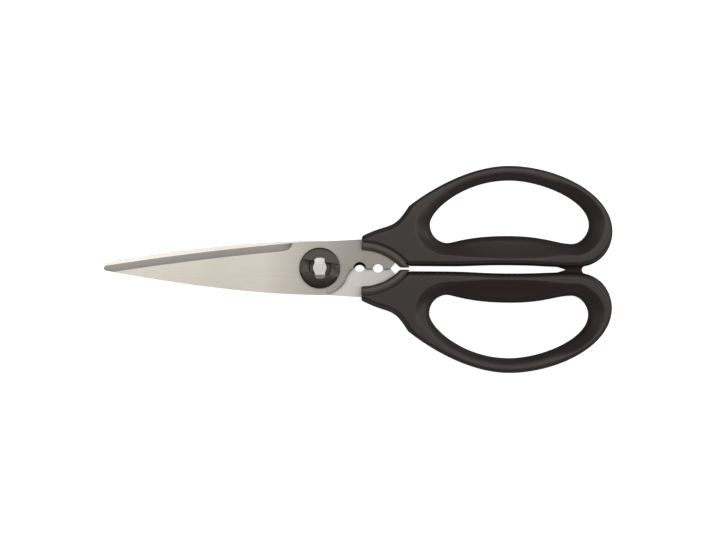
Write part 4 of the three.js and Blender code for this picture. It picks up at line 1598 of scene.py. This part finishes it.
    def pad(self, x, y, z):
        """A stop pad with a hollow flared foot, let a little into the grip's lower edge."""
        sizes = self.sizes
        middle = (pad_high.x + pad_low.x) / 2
        along = np.maximum(x, np.minimum(x + sizes.pad_ramp * np.maximum(y, 0), middle))
        plan = self.pad_plan(along, z)
        under_skin = self.skin(x, y, z) * sizes.edge_round / sizes.edge_depth + sizes.pad_let_in
        foot = round_min(plan, under_skin, sizes.pad_flare)
        foot = np.maximum(foot, np.maximum(-under_skin - sizes.pad_flange, plan - sizes.pad_flare))
        stem = np.maximum(self.pad_plan(x, z), y - pad_high.y)
        return round_max(np.minimum(foot, stem), sizes.pad_meet - y, PAD_ROUND)

    def wear(self, points):
        """How much lighter the grip is: hand polish and a painted highlight on its crests and its outer
        edge.
        """
        x, y = points[:, 0], points[:, 1]
        edge_in, edge_width, crest_width = 1.3 * MM, 1.4 * MM, 1.3 * MM
        outer = np.exp(-(((self.outer(x, y) + edge_in) / edge_width) ** 2))
        crest = np.exp(-((self.scoop(x, y) / crest_width) ** 2))
        return np.clip(0.7 * outer + 0.6 * crest, 0, 1)


def smooth(low, high, value):
    """Nought below low, one above high, and level at both."""
    t = np.clip((value - low) / (high - low), 0, 1)
    return t * t * (3 - 2 * t)


bow_plans = {}


def bow_plan(context):
    """The bow's lines and fields, worked out once."""
    if "upper" not in bow_plans:
        blades = BladePlan(context.scene.scissors_blades)
        bow_plans["upper"] = BowPlan(context.scene.scissors_bows, blades)
    return bow_plans["upper"]


def both_halves(name, points, faces, node, slot, material):
    """The upper and the lower piece of one form."""
    sides = (("upper", "front_half", points), ("lower", "rear_half", turned_over(points)))
    pair = []
    for side, body, place in sides:
        obj = mesh_object(f"{side}_{name}", place, faces)
        finished(obj, body, f"{side}_{node}", slot, material)
        shade(obj, 50)
        pair.append(obj)
    return pair


class SCISSORS_OT_handle_cores(bpy.types.Operator):
    """Makes the rigid cores, whose collars show at the tangs"""

    bl_idname = "scissors.handle_cores"
    bl_label = "Handle cores"

    def execute(self, context):
        plan = bow_plan(context)
        looks = context.scene.scissors_finishes
        points, quads = moulded(plan.core, core_low, core_high, plan.sizes.fineness)
        material = satin_plastic("core_plastic", looks.satin, 0.32)
        both_halves("core_satin", points, quads, "handle_core", "core_plastic", material)
        return {"FINISHED"}


class SCISSORS_OT_handle_grips(bpy.types.Operator):
    """Makes the soft grips of both finger bows"""

    bl_idname = "scissors.handle_grips"
    bl_label = "Handle grips"

    def execute(self, context):
        plan = bow_plan(context)
        looks = context.scene.scissors_finishes
        points, quads = moulded(plan.grip, grip_low, grip_high, plan.sizes.fineness)
        material = soft_rubber(looks.rubber, looks.worn_sheen, looks.grip_rough)
        wear = plan.wear(points)
        for obj in both_halves("grip_soft", points, quads, "handle_grip", "grip_rubber", material):
            attribute = obj.data.attributes.new("wear", "FLOAT", "POINT")
            attribute.data.foreach_set("value", wear.astype(np.float32))
        return {"FINISHED"}


class SCISSORS_OT_stop_pads(bpy.types.Operator):
    """Makes the two pads that stop the bows"""

    bl_idname = "scissors.stop_pads"
    bl_label = "Stop pads"

    def execute(self, context):
        plan = bow_plan(context)
        looks = context.scene.scissors_finishes
        flare = plan.sizes.pad_flare
        reach = flare + plan.sizes.pad_ramp * pad_high.y
        low = Vector((pad_low.x - reach, plan.sizes.pad_meet, pad_low.z - flare))
        high = pad_high + Vector((flare, 0, flare))
        points, quads = moulded(plan.pad, low, high, plan.sizes.pad_fineness)
        material = satin_plastic("pad_rubber", looks.rubber, 0.55)
        both_halves("pad_soft", points, quads, "stop_pad", "pad_rubber", material)
        return {"FINISHED"}


# Stage


class SCISSORS_OT_stage(bpy.types.Operator):
    """Makes the pale floor, the soft light and the camera"""

    bl_idname = "scissors.stage"
    bl_label = "Stage"

    def execute(self, context):
        stage = context.scene.scissors_stage
        self.floor(stage)
        self.sky(context, stage)
        self.softbox(stage)
        self.camera(context, stage)
        context.scene.view_settings.view_transform = "Standard"
        return {"FINISHED"}

    def floor(self, stage):
        """A wide pale floor under the grips."""
        reach = 30
        height = CAD_BOX[0].z - 0.05 * MM
        corners = [(-reach, -reach), (reach, -reach), (reach, reach), (-reach, reach)]
        obj = mesh_object("floor", [(x, y, height) for x, y in corners], [(0, 1, 2, 3)])
        finish = Finish("floor_pale")
        grain = finish.noise((40, 40, 40), 2.0)
        base = finish.mix(grain, (0.93, 0.93, 0.93, 1), (0.95, 0.95, 0.95, 1))
        material = finish.done(
            Base_Color=base,
            Roughness=0.9,
            Emission_Color=(1, 1, 1, 1),
            Emission_Strength=stage.floor_glow,
        )
        obj.data.materials.append(material)
        obj.visible_glossy = False
        obj.visible_diffuse = False

    def sky(self, context, stage):
        """Soft light all round."""
        world = bpy.data.worlds.new("studio")
        world.use_nodes = True
        tree = Tree(world.node_tree)
        ray = tree.out(tree.node("ShaderNodeTexCoord"), "Generated")
        window = (math.cos(stage.window_turn), math.sin(stage.window_turn), 0)
        facing = tree.node("ShaderNodeVectorMath", {"operation": "DOT_PRODUCT"})
        tree.link(ray, facing.inputs[0])
        tree.link(window, facing.inputs[1])
        towards = tree.math("MAXIMUM", tree.out(facing, "Value"))
        towards = tree.math("POWER", towards, stage.window_narrow)
        parts = tree.node("ShaderNodeSeparateXYZ", None, Vector=ray)
        height = tree.math("ABSOLUTE", tree.out(parts, "Z"))
        low = tree.math("MAXIMUM", 1 - height * (1 / stage.horizon_reach))
        above = tree.math("MAXIMUM", tree.out(parts, "Y"))
        ahead = tree.math("MAXIMUM", 0 - tree.out(parts, "X"))
        shaded_side = 1 - above * stage.horizon_shade - ahead * stage.front_shade
        strength = towards * stage.window + low * low * shaded_side * stage.horizon + stage.sky
        glow = tree.node("ShaderNodeBackground", None, Color=(1, 1, 1, 1), Strength=strength)
        tree.node("ShaderNodeOutputWorld", None, Surface=tree.out(glow, "Background"))
        context.scene.world = world

    def softbox(self, stage):
        """One large light overhead, towards the upper bow."""
        light = bpy.data.lights.new("softbox", "AREA")
        light.shape = "RECTANGLE"
        light.size = stage.softbox_length
        light.size_y = stage.softbox_width
        light.energy = stage.softbox * math.pi * stage.softbox_length * stage.softbox_width
        light.color = stage.softbox_tone
        obj = bpy.data.objects.new("softbox", light)
        place = (stage.softbox_along, stage.softbox_across, stage.softbox_height)
        obj.matrix_world = Matrix.Translation(place)
        obj.visible_camera = False
        bpy.context.scene.collection.objects.link(obj)

    def camera(self, context, stage):
        """Straight down, with a long lens."""
        data = bpy.data.cameras.new("camera")
        data.lens = stage.lens
        distance = stage.picture_width * stage.lens / data.sensor_width
        data.clip_end = 100
        obj = bpy.data.objects.new("camera", data)
        obj.matrix_world = Matrix.Translation((stage.centre_x, -stage.centre_drop, MID_PLANE + distance))
        obj.rotation_euler = (0, 0, stage.roll)
        context.scene.collection.objects.link(obj)
        context.scene.camera = obj


class SCISSORS_PT_build(bpy.types.Panel):
    """Lists what builds the scissors"""

    bl_idname = "SCISSORS_PT_build"
    bl_label = "Scissors"
    bl_space_type = "VIEW_3D"
    bl_region_type = "UI"
    bl_category = "Scissors"

    def draw(self, context):
        layout = self.layout
        for operator in OPERATORS:
            layout.operator(operator.bl_idname)
        for key in SETTINGS:
            box = layout.box()
            settings = getattr(context.scene, key)
            for name in settings.bl_rna.properties.keys():
                if name not in ("rna_type", "name"):
                    box.prop(settings, name)


SETTINGS = {
    "scissors_blades": BladeSizes,
    "scissors_pivot": PivotSizes,
    "scissors_bows": BowSizes,
    "scissors_finishes": Finishes,
    "scissors_stage": StageSettings,
}
OPERATORS = (
    SCISSORS_OT_stage,
    SCISSORS_OT_blades,
    SCISSORS_OT_pivot_turned,
    SCISSORS_OT_pivot_stud,
    SCISSORS_OT_handle_cores,
    SCISSORS_OT_handle_grips,
    SCISSORS_OT_stop_pads,
)


def register():
    """Adds the settings, the operators and the panel."""
    for key, group in SETTINGS.items():
        bpy.utils.register_class(group)
        setattr(bpy.types.Scene, key, PointerProperty(type=group))
    for operator in OPERATORS:
        bpy.utils.register_class(operator)
    bpy.utils.register_class(SCISSORS_PT_build)


def unregister():
    """Takes them away again."""
    bpy.utils.unregister_class(SCISSORS_PT_build)
    for operator in reversed(OPERATORS):
        bpy.utils.unregister_class(operator)
    for key, group in SETTINGS.items():
        delattr(bpy.types.Scene, key)
        bpy.utils.unregister_class(group)


def main():
    """Builds the scissors."""
    register()
    bpy.ops.scissors.stage()
    bpy.ops.scissors.blades()
    bpy.ops.scissors.pivot_turned()
    bpy.ops.scissors.pivot_stud()
    bpy.ops.scissors.handle_cores()
    bpy.ops.scissors.handle_grips()
    bpy.ops.scissors.stop_pads()


if __name__ == "__main__":
    main()
